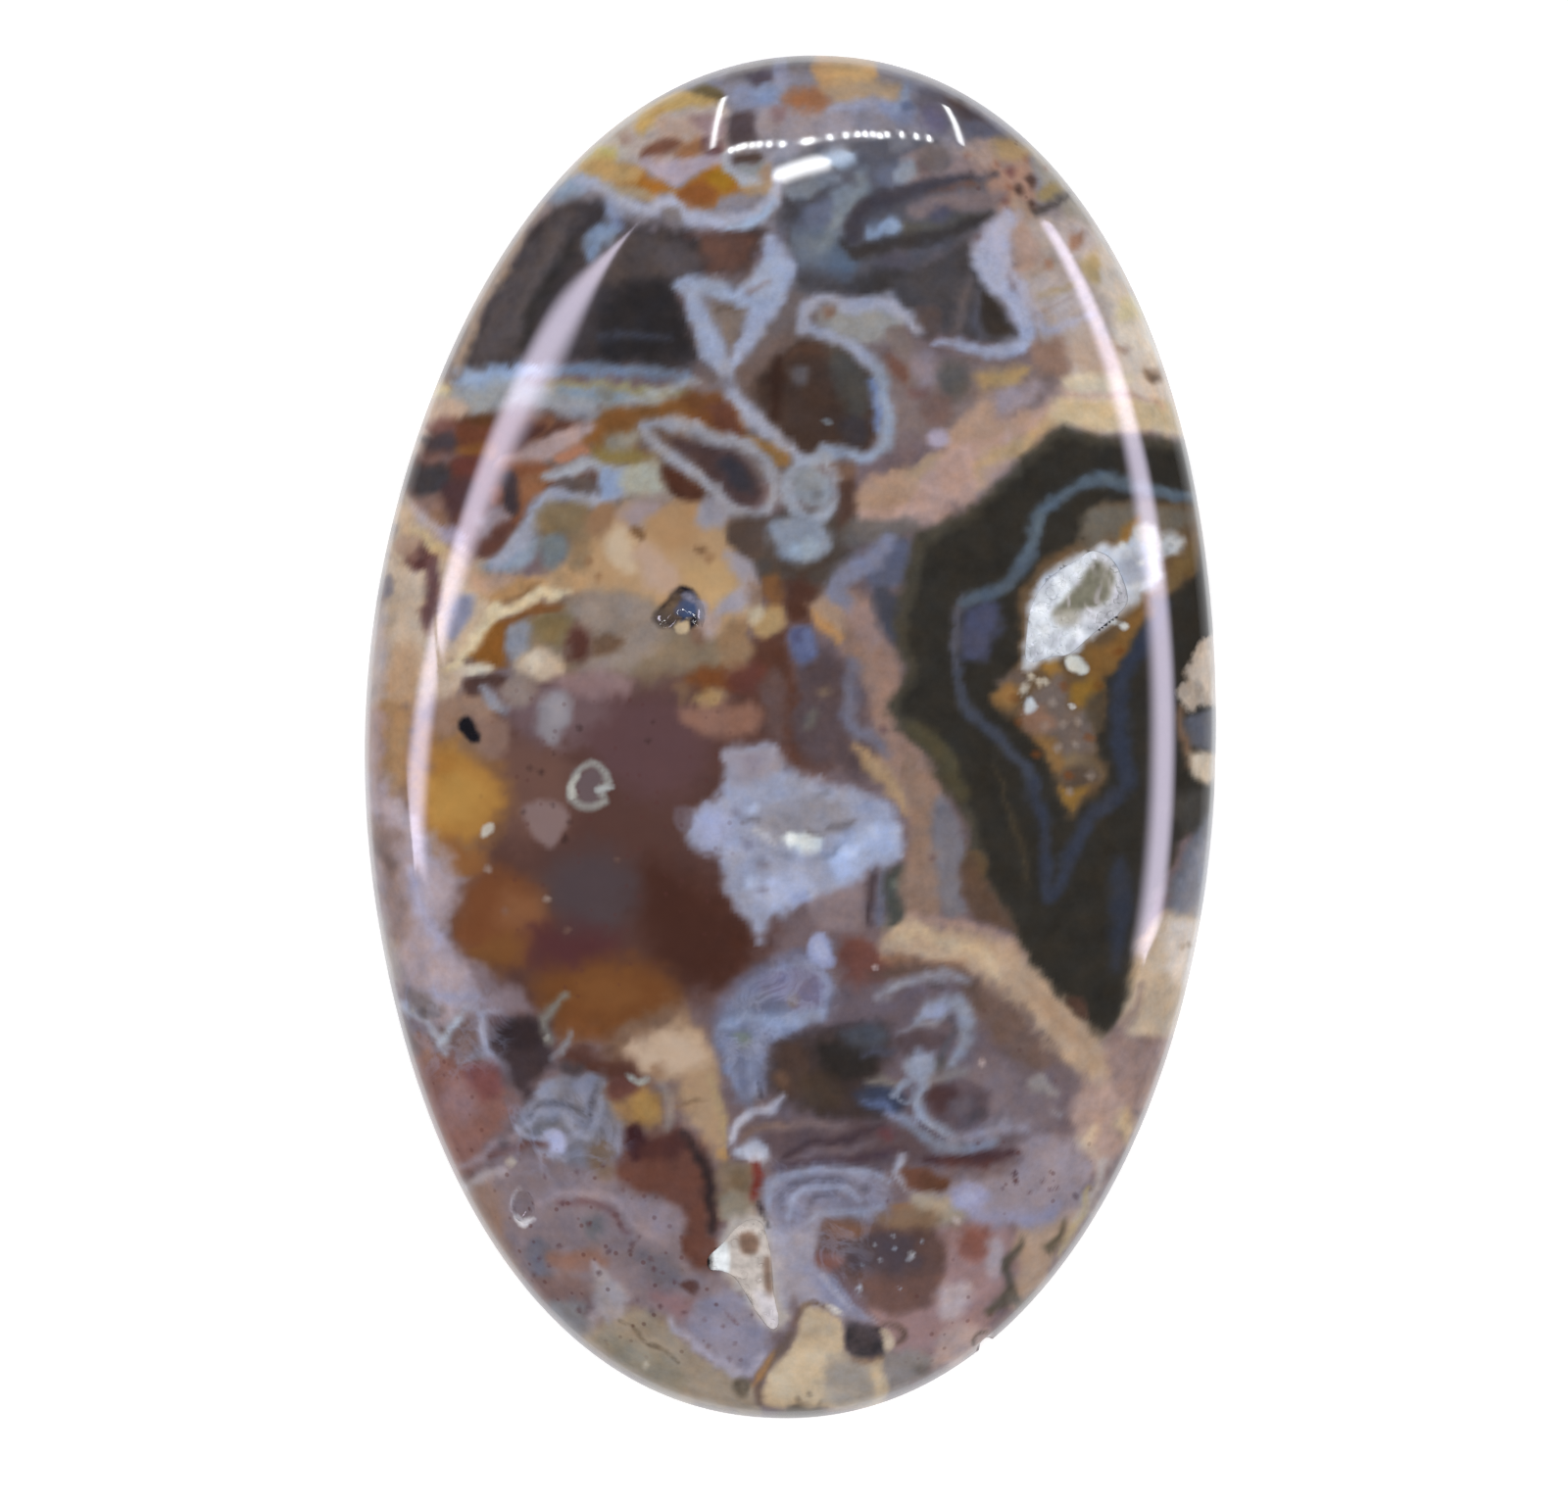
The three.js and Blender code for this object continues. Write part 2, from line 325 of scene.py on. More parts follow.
# The soft colours, drawn on the plan from the bottom layer up
GROUND = read_markings(
    """
# Head of the oval, and right of it out to the edge
85808a 20 540,210 600,130 700,70 830,45 960,75 1060,140 1110,220 1000,230 900,250 700,235
56555e 16 795,195 880,180 1000,178 1010,215 990,240 930,300 880,310 820,300 800,260
a99b94 16 1036,215 1072,225 1125,210 1180,300 1210,400 1150,400 1090,390 1062,352 1035,290
d3c0b0 12 1140,325 1185,315 1225,440 1160,440 1100,438 1068,420 1090,385 1130,380
7c6d6c 16 900,345 960,360 1020,370 1080,372 1075,398 1040,430 990,440 950,450 900,440
b0938a 12 862,528 874,500 930,488 965,460 1000,430 1040,420 1085,402 1085,430 1050,462 1020,480 1005,505
 970,528 920,540 880,545
a98f76 8 874,508 900,492 940,474 966,460 952,484 920,502 890,514
b59a78 9 1005,465 1040,445 1078,425 1085,436 1060,452 1035,475 1015,500 1000,505
97858a 9 o.8 1012,475 1035,470 1030,492 1012,515 995,520 1002,495
# The smoky panel and what lies under it
403a3c 9 462,385 478,345 505,290 545,235 580,200 618,198 640,215 665,228 705,236 765,236 783,245 768,262
 755,282 735,286 702,284 688,292 696,315 706,342 714,362 708,378 690,383 640,378 590,372 545,372 500,380
6b6462 16 o.6 540,560 700,520 900,440 840,300 720,300 700,400 480,390 440,420
# The rusty country on the left, under the panel
5c3d34 10 410,440 440,426 480,420 540,420 590,426 600,440 560,450 530,462 560,474 612,480 600,498 560,500
 545,520 525,545 500,568 478,566 462,545 440,530 425,515 405,490
bba58f 12 385,640 398,560 410,505 440,530 470,560 500,580 500,640 455,690 430,720 400,720 370,690
7d5735 10 596,440 620,420 700,402 740,395 758,440 720,440 655,428 645,450 680,475 715,505 700,515 660,480
 615,470
# The sandy middle
b0906e 13 470,575 520,585 560,575 600,530 640,515 700,515 745,530 770,560 775,600 765,640 720,650 650,620
 600,612 560,610 520,610 490,610
83725f 14 560,620 640,610 700,640 760,640 775,690 700,700 640,695 580,690 530,690 530,640
57392f 14 750,705 762,665 782,645 805,640 815,690 850,700 860,750 840,790 780,760 740,740
4d4541 12 760,545 780,520 850,520 870,530 862,590 830,620 800,600 775,590
# Waving bands beside the dark nodule
8f756a 11 838,612 860,602 885,615 905,640 918,690 916,720 935,760 965,800 955,900 940,955 915,940 930,880
 925,830 905,800 885,740 880,690 862,660
57494c 11 815,680 850,665 872,700 880,745 900,790 880,800 850,790 820,770
# The plum cloud on the left of the middle, which is clear and so has no crisp edges
573d38 26 w6 505,705 720,700 800,780 780,960 740,1010 560,1045 480,990 500,800
5f4547 22 w6 590,705 690,710 720,760 690,810 620,800 590,750
6c4f47 18 w6 510,755 560,765 590,800 570,850 530,860 505,820
6e585b 14 w6 520,705 560,695 620,700 620,735 570,765 525,750
a3743c 21 w6 434,752 460,748 488,772 514,806 502,850 468,868 434,862
b08548 18 w6 440,795 470,788 496,806 490,836 462,846 440,838
8a5d39 12 w6 452,864 486,860 500,880 478,900 458,894
74482f 22 w6 472,902 510,885 560,905 560,955 525,985 480,975 462,940
84593d 15 o.9 w6 508,918 545,912 556,940 540,962 514,950
7b5230 12 o.8 w6 484,966 520,958 536,974 510,990 490,986
504346 25 w6 560,885 610,870 650,890 650,935 610,955 565,935
553335 18 w6 540,945 600,945 630,965 600,990 550,985
482d26 24 w6 660,880 720,900 775,960 740,1005 680,1000 650,940
70472a 20 w6 550,1000 600,982 670,988 694,1030 640,1060 570,1050
7d5230 14 o.8 w6 590,1000 625,994 648,1012 620,1028 594,1024
a58c87 10 362,690 396,690 398,780 380,830 366,780
a5815f 10 394,690 420,690 420,800 408,838 396,800
a8989f 13 366,800 396,790 425,840 455,870 468,905 455,950 470,975 492,1000 486,1030 440,1040 405,1000
 385,930
7c6c72 11 484,992 512,1000 540,1020 524,1040 496,1036 484,1016
8b756f 9 o.75 378,836 396,842 412,880 424,930 412,965 396,935 382,880
74615d 7 o.7 388,858 400,870 406,896 396,892 388,876
9f978f 9 o.6 392,936 408,960 414,996 402,1000 390,960
# Left of the foot
84605a 10 425,1075 500,1088 522,1110 516,1150 490,1188 462,1198 440,1160 425,1110
83757b 12 478,1205 540,1180 620,1190 660,1210 700,1250 700,1290 740,1310 780,1350 790,1390 760,1405 720,1390
 660,1340 600,1330 590,1350 560,1330 520,1290 495,1240
998b7c 8 596,1356 640,1340 680,1352 720,1392 760,1408 776,1445 740,1445 690,1430 640,1405
66433a 10 640,1168 690,1150 715,1170 728,1220 726,1290 700,1290 690,1230 650,1215 630,1195
7a5f4e 12 606,1090 638,1052 672,1030 704,1030 700,1070 660,1100 628,1100
a78b70 11 650,1088 672,1058 698,1040 712,1048 722,1072 732,1104 738,1140 742,1182 726,1178 706,1150 688,1124
 690,1102 664,1098
bfa792 12 640,1082 664,1060 700,1052 716,1070 714,1090 680,1092 652,1092
43373a 11 504,1062 540,1042 566,1056 566,1080 552,1100 544,1126 526,1114 512,1090
553831 10 572,1064 606,1072 650,1094 664,1108 630,1115 596,1100
# Right of the foot
bfa68a 11 904,960 926,936 960,950 1000,960 1040,990 1070,1020 1110,1055 1135,1090 1110,1100 1070,1080
 1040,1055 1005,1020 1000,990 960,985 920,975 905,972
d9c8af 8 o.55 920,947 950,960 985,975 1010,985 1000,1000 965,978 925,970
8f6c5a 9 o.7 900,975 950,985 980,988 930,1000 900,1000
6b4640 9 862,955 890,960 905,985 895,1020 870,1010 858,985
bfa68a 10 1150,1000 1165,960 1190,938 1222,935 1215,985 1195,1040 1170,1055 1150,1050 1140,1035
84747b 9 o.7 1125,1065 1150,1040 1175,1035 1160,1070 1130,1080
ab9188 12 1120,1080 1160,1060 1185,1070 1170,1120 1140,1180 1110,1190 1090,1150 1105,1110
c9b28a 8 o.6 1140,1140 1165,1125 1155,1160 1140,1155
d9c8af 7 o.6 1098,1160 1120,1155 1120,1175 1102,1172
a78f7e 9 1035,1255 1075,1240 1112,1232 1095,1262 1075,1292 1050,1322 1035,1330 1030,1290
94797a 12 900,1300 960,1250 1015,1250 1030,1290 1015,1350 960,1395 930,1390 880,1350
9c95a0 10 786,1235 840,1250 836,1290 862,1325 890,1350 850,1338 820,1328 800,1350 780,1340 780,1290
857e7d 8 900,1380 940,1378 960,1398 930,1418 900,1430
"""
)

# The crisp markings, in the order in which they lie over one another
MARKS = read_markings(
    # A painted highlight along the left wall of the small pit
    # Painted highlights: white flecks and a small ring where the lamps glint on the drusy surface
    # Painted shade inside the moon pit, and a painted blue reflection of the sky in it
    # The next two are painted reflections: faint glows round the reflections of the top pane and the sky
    """
# Head of the oval, its left side
b9ab9e 9 560,190 600,140 650,105 672,112 652,150 640,165 600,185
b5a6a0 8 640,140 652,122 690,106 740,104 744,140 726,166 690,176 650,166
bd9f6a 5 646,124 664,104 690,93 722,94 732,106 706,110 684,115 668,128 656,138
6e6046 4.6 702,92 716,86 736,92 738,104 724,102 712,95
b8ab6e 6 596,166 606,152 622,150 630,162 616,172
9c7f76 5 o.8 632,134 642,136 641,144 632,142
b39a8c 7 676,124 712,122 722,132 700,140 676,138
8c7379 6 o.8 704,122 724,116 738,124 736,140 718,140
956c50 6 694,143 716,142 724,152 712,162 692,160
6f5154 5 718,142 738,146 738,166 724,162
714e42 6 655,154 670,146 690,141 695,146 686,157 674,161 658,160
ac9da8 6 656,162 690,162 730,158 744,164 738,174 706,180 690,190 676,184 664,174
a0692f 5 606,178 630,166 652,170 664,180 680,188 692,192 706,184 722,174 736,170 748,182 768,187 764,196
 742,198 728,206 716,214 702,211 688,202 674,200 660,204 648,200 628,190
b8986a 6 592,172 606,158 630,163 652,168 656,180 640,186 614,184
8a5733 5 690,198 706,188 726,192 730,203 716,213 702,211
9d7127 5 722,182 736,172 748,183 742,194 726,193
54474a 6 743,118 762,111 773,120 774,142 758,149 743,146
a58a6c 5 o.9 752,186 780,180 792,186 782,198 758,196
4f403b 4.6 748,158 760,153 776,156 777,165 764,168 750,166
83878a 4.6 752,170 764,168 776,166 774,177 760,180
vein a8a9b2 9 s5 740,158 744,172 755,183 770,183 781,172
8c6d52 5 o.8 772,172 784,170 786,184 776,182
# Head of the oval, its top and right side
746d70 7 738,84 760,66 820,50 842,52 838,66 800,72 765,82
8e92aa 8 744,90 766,84 796,80 800,98 782,112 752,110
8e9ab8 6 768,88 792,86 796,98 776,104
5c525c 5 762,75 780,70 788,80 772,85
8b8da6 6 o.8 788,62 802,60 804,80 792,82
9b9198 8 776,112 830,112 870,116 860,140 800,142 776,136
8c6c6a 5 o.8 786,113 800,112 801,124 789,124
9e6d4f 8 803,94 830,88 846,92 842,110 816,114 802,108
b8926a 7 832,50 852,50 856,84 842,92 832,78
c09d70 8 848,50 880,52 896,72 890,90 866,92 848,84
a9927a 8 846,86 890,84 920,82 916,98 880,104 852,104
vein 9a9bb0 12 s7 846,112,5 876,108 902,108 914,116,6
7f86a2 7 900,108 914,104 938,102 938,116 922,128 906,120
vein 8f9bb5 9 s6 926,82,6 922,98 914,112,4
646f8f 4.6 920,103 932,101 932,110 922,112
625f6b 10 938,82 985,92 1030,140 1010,150 975,138 942,128
6c6580 8 o.7 940,112 960,110 962,134 944,132
4d4346 7 966,98 990,102 1006,122 990,122 974,112
85818a 7 905,62 960,72 1010,100 1060,150 1100,200 1084,200 1040,150 1000,116 950,88 905,78
a0988f 8 1046,150 1064,148 1100,196 1110,230 1088,222 1066,190
a99288 8 970,166 978,152 1012,148 1020,176 990,180 974,186
a88e6c 7 1014,142 1040,142 1052,158 1036,168 1016,162
a28070 8 1008,170 1030,166 1050,172 1056,200 1044,224 1026,222 1010,200
ae9483 6 1028,206 1044,202 1056,218 1040,226
978664 5 1058,196 1078,186 1084,194 1066,206
vein 544d4c 10 s5 1056,216,5 1070,210 1090,196,5
flecks 765250 12 s4.6 o.9 1032,174 1026,206
flecks 47342f 11 s4.6 o.85 1040,194 1052,184 1052,208
flecks 8c5d4a 7 s4 o.7 988,158 1016,168 1030,190 1068,172 1046,164
# The smoky corner between the head and the heart
5b5b66 8 800,160 880,140 950,140 956,156 900,190 850,200 806,196
7c7c86 6 o.8 908,142 926,142 930,152 912,154
48454a 9 796,198 830,184 852,188 836,212 812,224 794,222
656a7e 9 818,214 850,206 858,232 846,256 824,246
666e7d 9 812,236 850,236 872,262 866,276 836,276 812,268
49464a 9 816,284 840,280 880,284 930,284 940,300 900,300 860,300 830,296
59667a 8 o.9 846,258 866,252 880,264 866,280 850,276
53505c 7 898,262 920,254 930,270 914,282 900,276
3f3c3e 9 876,282 900,276 930,280 925,300 880,300
vein 7d868f 13 s9 o.9 880,178,8 879,198 866,214 850,234 840,254,8
7f8893 7 o.8 848,198 868,190 874,202 856,212
64697c 8 o.8 890,178 915,166 920,184 900,190
897777 7 926,158 960,156 1000,166 1010,178 970,184 930,190 920,176
8b919e 5 913,176 920,166 932,166 936,178 926,186 915,186
5d4f55 5 o.8 938,168 948,168 948,177 938,177
6e6567 7 936,160 962,150 972,160 962,176 944,174
807275 7 930,206 980,196 1010,192 1028,200 1014,214 970,218 935,222
5a5753 7 925,226 960,222 1000,218 980,230 940,240 922,240
4e5068 7 o.8 946,216 966,212 972,222 952,226
8596b2 5 886,242 885,230 899,228 908,219 919,222 922,234 916,242 900,240
vein 46424a 16 s6 1018,178,5 985,183,9 945,191 905,201 884,212,15 873,228 870,242,12
vein 6e5148 5 s4.6 o.8 1000,187,3 975,192 950,196,3
vein 3e3a3b 15 s6 1014,217,6 990,228,11 950,240 905,250 874,258 862,250,10
# Right of the head
4a4649 8 905,300 930,280 962,262 986,244 1000,268 1014,294 1030,322 1048,346 1012,352 985,346 962,338
 935,340
3a332f 5 1000,300 1012,302 1026,322 1032,337 1014,340 1002,322
vein 685e5f 12 s7 o.8 990,284,5 982,304 974,336,8
vein 5d5b66 10 s7 o.7 998,300,5 996,326 1002,344,5
584c4b 5 934,318 952,312 960,332 950,346 938,342
aaa9be 7 996,246 1012,226 1030,214 1042,228 1034,256 1034,284 1018,286 1002,268
vein a4a8c0 22 s6 1000,262,16 1014,284 1030,305 1046,328,20 1052,345,14
vein 9aa1bb 16 s5 1053,338,12 1038,352 1014,359 990,354,12 970,349,9 954,351,4
vein a9a7ba 11 s6 1032,272,8 1044,298 1060,324 1072,338 1090,332 1110,319,8
a98f84 8 1034,236 1052,230 1062,250 1054,274 1038,276
aca09f 8 1052,290 1098,272 1106,312 1074,328 1056,312
vein a08d6c 8 s6 o.8 1062,302,5 1080,298 1094,294,5
vein 9b8272 3 s4 o.6 1040,284,2 1062,276 1088,262,2
vein 9b8272 3 s4 o.6 1056,320,2 1076,312 1100,304,2
cbbeb3 10 1118,236 1140,262 1168,312 1190,360 1160,372 1136,330 1118,286 1104,250
b39d77 6 1106,264 1116,258 1124,270 1120,288 1110,284
bfb0ad 7 1078,226 1104,226 1116,250 1098,262 1086,250
9b7662 5 1094,240 1106,238 1106,250 1094,254
a27c68 4.6 1066,264 1074,264 1076,272 1068,273
cdc09f 8 1140,306 1162,300 1172,326 1150,330 1140,324
ddd0c2 8 1140,332 1180,326 1196,366 1168,362 1146,350
8f7468 8 1056,350 1078,346 1094,356 1090,378 1070,384 1054,374
b19b8c 8 1094,350 1130,346 1140,380 1104,382
a98c7c 5 o.8 1142,352 1156,356 1150,363 1142,360
8e7765 4.6 1168,374 1182,376 1188,386 1178,389 1170,382
6d5a4c 3.5 o.9 1174,382 1184,384 1182,388 1176,387
cdbfa9 6 1086,388 1100,382 1140,380 1160,386 1140,398 1100,398
cab493 7 1080,408 1140,408 1220,416 1226,444 1160,440 1108,436 1074,430
vein bb9a8c 5 s5 o.8 1088,401,3 1130,403 1170,409 1184,416,3
5e5a59 9 958,376 984,372 986,402 966,410
8b7e86 8 930,368 950,362 956,388 938,396
70524a 5 904,362 914,366 928,386 924,396 910,384
775651 5 o.8 930,398 946,396 948,406 934,408
755c56 7 o.8 944,408 966,404 968,430 948,432
a48962 7 998,384 1030,376 1054,376 1040,392 1004,398
988b93 8 1014,398 1050,392 1068,392 1056,412 1026,424 1010,414
a98d7c 8 960,452 985,424 1000,404 1014,408 1016,428 1060,418 1040,436 1000,450
a79cae 5 946,448 954,439 966,441 969,452 958,460 948,457
# The smoky panel
544c4d 12 476,372 484,345 510,295 548,240 572,212 592,216 580,250 552,300 536,345 522,368
vein 5f5553 12 s9 o.7 572,236,8 552,268 536,300 522,340,8
vein 343131 14 s8 o.9 585,248,8 562,285 544,320 534,352,9
544a48 10 o.8 590,250 640,236 700,250 690,280 640,290 600,290
634840 9 716,246 740,240 776,240 768,262 748,278 720,276
5c5457 10 o.8 672,258 700,250 718,266 704,282 680,280
2e2b2d 12 625,300 680,288 700,330 706,362 650,372 610,360
vein 40424e 9 s6 o.8 608,344,5 640,342 684,346,5
vein a38c7b 15 s7 464,384,10 477,340 495,300 521,254 552,212,6
d3bd90 9 424,426 436,396 450,390 462,396 458,414 440,424
8c93ab 7 620,200 636,206 640,218 632,234 620,226
5f6584 5 o.8 626,224 636,222 636,236 626,236
8496b2 7 o.9 597,262 600,242 614,230 630,228 632,240 616,254 604,266
8d9cb2 7 564,204 576,186 594,182 598,192 582,202
vein a7aabd 13 s6 590,184,9 613,190 636,202 656,214,10
vein a9aabc 14 s6 664,214,9 682,204 698,216 728,223 756,222 778,212 791,198 794,182,9
7e7472 5 o.9 676,214 690,210 694,222 682,226
vein 9fb0cc 9 s5 742,232,4 758,230 776,220 788,206,5
vein 5a3e38 8 s6 o.6 700,240,4 740,240 772,238,4
# Its ragged lower rim, and the pale band below
vein 8f9eba 17 s7 w8 466,388,12 500,386 545,381 572,380,8
vein 6f7d95 13 s7 w5 560,378,12 600,378 650,381 704,388,8
95a5c0 8 472,384 500,378 524,380 528,402 502,410 480,402
8f9099 8 540,400 576,404 606,410 610,428 580,424 552,414
9b9c9e 9 440,424 470,396 540,392 620,398 690,404 640,416 560,410 500,418
vein 8c8462 8 s6 562,392,5 610,396 660,400 704,402,6
7f8c9c 6 572,400 610,398 640,404 636,412 600,412
vein a4a6ac 8 s5 o.8 660,402,5 690,396 712,390,5
# Heart between the panel and the head
7d6f68 5 724,310 746,312 764,316 754,334 744,352 736,338
vein 5d4a3c 6 s5 o.8 734,314,4 746,312 758,316,4
vein 98a2ba 20 s6 688,289,9 704,289 728,293 752,304,15
vein 98a0b8 23 s6 701,292,15 713,318 724,346 735,376,18
vein a0a6be 23 s6 784,246,11 797,264 795,286,26 779,316,25 763,346,22 745,376,16
9da5bc 6 750,304 766,284 784,262 800,262 806,290 788,314 768,318 756,314
vein 8d8288 4 s4.6 764,301,3 774,294 783,289,3
# Tail under the heart, and its orange patch
70482d 7 698,402 716,394 736,394 752,412 760,432 756,448 740,446 724,438 704,432 690,420
5f3d33 5 o.9 722,414 744,412 756,438 744,446 728,434
7d6d6a 5 748,380 760,368 768,380 760,394 750,392
8f6b42 5 757,447 780,448 799,456 806,470 792,475 772,463
vein 9d9ead 18 s6 736,376,15 745,398 763,420,18 780,436 798,446 812,458 824,472,10
# Big dark cell
6d5c57 9 752,384 772,356 800,340 816,352 800,380 782,402 764,408
463731 7 770,400 786,370 808,352 840,350 870,366 892,388 896,420 892,450 876,462 840,452 824,464 804,448
 784,426
4a4745 8 846,352 872,364 890,390 886,420 866,420 850,390
vein 38251f 12 s7 o.8 796,366,7 792,396 790,424,6
vein 5b4338 12 s7 o.8 806,362,6 826,356 846,360,6
5f5a5f 6 808,380 816,374 827,376 827,390 818,394 810,390
82868b 3.5 839,429 844,425 849,430 844,434
3d3a40 6 o.7 856,428 880,424 882,450 862,452
vein 7080a8 12 s5 888,388,7 895,408 896,436,7
vein 9599ac 16 s6 822,331,12 845,340 872,354 894,376,14
vein 909aae 14 s6 893,376,11 904,406 906,436 898,458,14 880,470 860,462,13 838,458,12
8e8d8d 6 836,322 846,310 862,312 890,302 912,308 926,326 904,344 876,350 850,338
7d6e69 5 902,338 918,334 930,350 924,362 908,356
vein 9c9eb0 15 s6 820,334,12 820,320 830,308 846,303,13 868,313 888,308 906,309 924,322 936,336,8
7f675e 4.6 o.9 840,314 850,313 851,321 842,322
# Second cell and the small loop
6f5a50 6 664,438 690,434 714,442 700,456 684,454
4d3c3c 6 682,448 706,449 738,457 762,472 776,498 770,514 750,512 732,492 706,470
39363d 6 732,468 752,472 770,490 768,502 752,498 738,484
vein 97969f 13 s5 656,434,11 678,431 702,436 722,445 748,450 772,462 785,480 789,500 784,518 768,526 748,520
 734,508,12
vein 97969f 13 s5 658,434,10 668,452 686,468 708,483 726,496 736,508,11
vein a8a6b0 6 s4.6 o.8 672,425,4 696,428 714,434,4
8b8f97 6 806,484 820,474 842,480 850,500 842,516 822,518 808,506
loop 9b9ea9 13 s5 804,484 818,471 838,468 852,480 858,500 850,518 830,530 810,522 802,504
6d6e74 5 o.8 824,502 836,498 840,506 830,512
725a4f 6 848,474 862,472 872,482 866,494 854,488
523d36 7 858,494 870,490 876,510 870,536 858,538 854,515
55463f 7 742,532 778,526 786,546 776,568 752,570
858c9b 7 780,548 790,532 806,526 822,528 838,532 850,548 842,566 822,576 802,572 788,562
9aa6b4 6 o.8 804,552 824,546 836,558 822,570 806,566
vein 4e4038 8 s6 o.8 782,544,5 790,568 808,582 830,580 850,568,5
# Rusty country on the left
c0a592 7 410,480 424,432 440,408 478,412 468,428 450,438 432,456
583a24 6 476,424 510,422 512,436 490,438
6d4231 8 458,434 500,432 504,456 470,458
835630 6 464,458 500,454 504,468 476,468
77534f 6 o.9 436,432 460,430 464,444 444,446
4c4246 7 428,446 450,442 464,450 460,462 436,462
7a605c 6 o.9 420,464 450,462 468,468 440,474
454043 8 418,480 440,474 460,480 464,496 448,508 424,506
633a34 6 462,472 480,466 496,474 484,492 468,488
4d3739 8 456,494 476,490 482,506 468,530 452,542 450,520
8c7067 7 424,506 446,506 452,522 436,530 426,520
8a6a56 6 o.9 440,524 456,526 460,540 446,542
vein c2a68a 14 s6 402,508,8 410,530 424,548 444,560 460,576,9
vein b6a5a4 10 s6 420,514,6 434,530 450,548 472,560,7
9c92a6 6 o.9 446,540 466,538 478,548 466,558 452,552
c4ad88 5 418,540 434,546 452,562 444,566 426,554
7c5641 7 536,428 560,424 566,430 556,440 538,447
4f332e 5 530,436 546,428 556,434 546,446 530,450
vein a6908e 22 s6 514,472,9 548,462 578,448 606,434,12
a9775f 5 562,466 580,456 600,452 602,462 586,470 568,473
83533b 8 512,474 546,470 566,480 560,496 540,514 528,534 514,524
43383b 6 510,490 524,480 532,490 530,512 524,528 513,520
8e6348 6 o.9 540,482 560,484 554,500 538,512 534,498
8a5a48 4.6 499,500 510,498 510,516 501,518
8a7c82 6 490,528 506,518 520,528 514,546 498,550 488,542
vein 5c3e38 14 s5 520,534,8 506,548 492,564,9
8490a2 8 492,578 520,562 536,548 552,548 544,568 520,584
vein 9b9eaf 19 s6 506,572,14 526,556 542,532 554,512 576,502 598,506 614,513 630,500,16
vein a1a2aa 16 s6 556,484,7 584,480 602,473 620,480 642,486,15
8c99b4 6 610,492 618,478 632,482 634,500 620,510
5f5350 5 568,490 584,486 602,487 606,497 590,502 574,498
a3a297 9 634,482 650,468 674,472 684,494 676,508 650,510 636,500
857348 6 604,460 618,452 650,460 664,466 640,476 616,474
90887c 7 618,446 640,438 652,446 640,458 622,458
8a5b32 6 o.9 598,444 616,436 616,452 602,456
77502e 7 610,426 650,418 700,414 700,424 656,426 640,438 614,438
4d3026 6 676,476 692,478 712,496 714,510 694,508 680,494
8f8079 6 o.9 646,508 676,502 690,508 664,520 648,518
# The sandy middle
7c6a51 9 546,524 566,512 600,512 600,536 580,548 552,548
727a80 7 552,552 566,546 580,554 580,572 562,580 552,570
8a745b 7 o.9 584,544 602,540 600,576 582,580
8f6f55 6 598,522 616,514 630,518 626,538 610,548 600,540
c5af96 8 618,546 634,538 648,560 650,584 634,584 622,566
b79b88 8 646,556 668,560 690,584 690,606 664,600 650,580
ab8763 9 656,534 690,512 712,514 712,550 680,560
99898b 7 634,524 656,512 680,512 664,530 644,540
97929b 7 708,524 722,508 742,514 740,530 722,538 710,534
b7976f 9 700,582 730,572 752,588 748,614 724,618
8f8178 12 590,612 640,604 672,630 668,670 610,690 580,660
flecks 76583f 10 s4.6 o.9 647,543 716,560 652,546
flecks 8c694c 9 s4 o.8 602,574 612,590 722,570
ab835a 7 496,604 520,594 550,590 552,602 520,612 500,614
b39583 7 478,586 506,584 520,592 494,602 480,600
vein 7c5b3d 5 s4.6 o.9 504,617,3 528,609 548,596,4
7c6b4d 7 546,634 566,624 584,634 580,652 556,656
8b8d98 6 518,642 532,632 544,640 538,662 522,672
bda893 6 524,684 534,668 556,662 574,670 576,688 552,696
cebca6 5 534,676 544,668 550,680 542,690
593932 7 578,646 592,638 602,652 596,672 582,672
68503f 6 o.9 604,650 622,644 636,656 620,670 606,666
93797a 9 o.8 566,694 600,682 640,690 640,706 590,708
vein 774f30 9 s4.6 502,640,5 528,629 552,618 572,622,5
vein d0be9f 11 s4.6 500,624,9 520,620 540,612 552,602 566,607 580,607,7
bca999 8 446,682 470,674 486,682 478,694 462,716 448,716 440,700
94796a 8 456,712 480,706 506,714 504,734 480,732 460,732
8b7b75 8 512,692 540,690 548,706 536,722 514,716
937563 8 444,716 466,712 470,732 456,748 440,742
vein cdbc9e 13 s5 456,684,8 478,668 490,650 500,632 506,616,9
84572b 5 478,674 490,660 500,642 514,634 517,650 515,680 500,682
d2c4af 5 474,682 488,676 504,682 500,692 480,690
563830 4 o.9 468,674 480,669 484,674 474,679
c2b0a0 9 398,578 420,572 430,600 424,620 404,610
c0ab98 9 398,620 424,612 432,640 424,664 400,660
b89a80 9 400,660 424,664 424,700 404,712 394,690
b0a09c 8 372,650 388,620 396,660 390,712 370,710
6b6878 4 o.9 392,592 400,588 402,602 394,606
9a7a6a 5 o.8 404,554 418,548 424,560 410,564
593937 5 412,566 424,556 438,564 442,578 428,584 416,576
vein 6b4e4f 14 s6 438,574,9 440,590 442,612 436,640,8
86869a 7 456,622 474,604 482,612 476,640 464,656 456,646
# Moon pit and the middle
b19a92 7 714,634 728,628 738,636 730,652 716,648
29242a 3.5 666,634 678,614 692,598 706,600 716,618 716,636 704,644 684,640 674,640
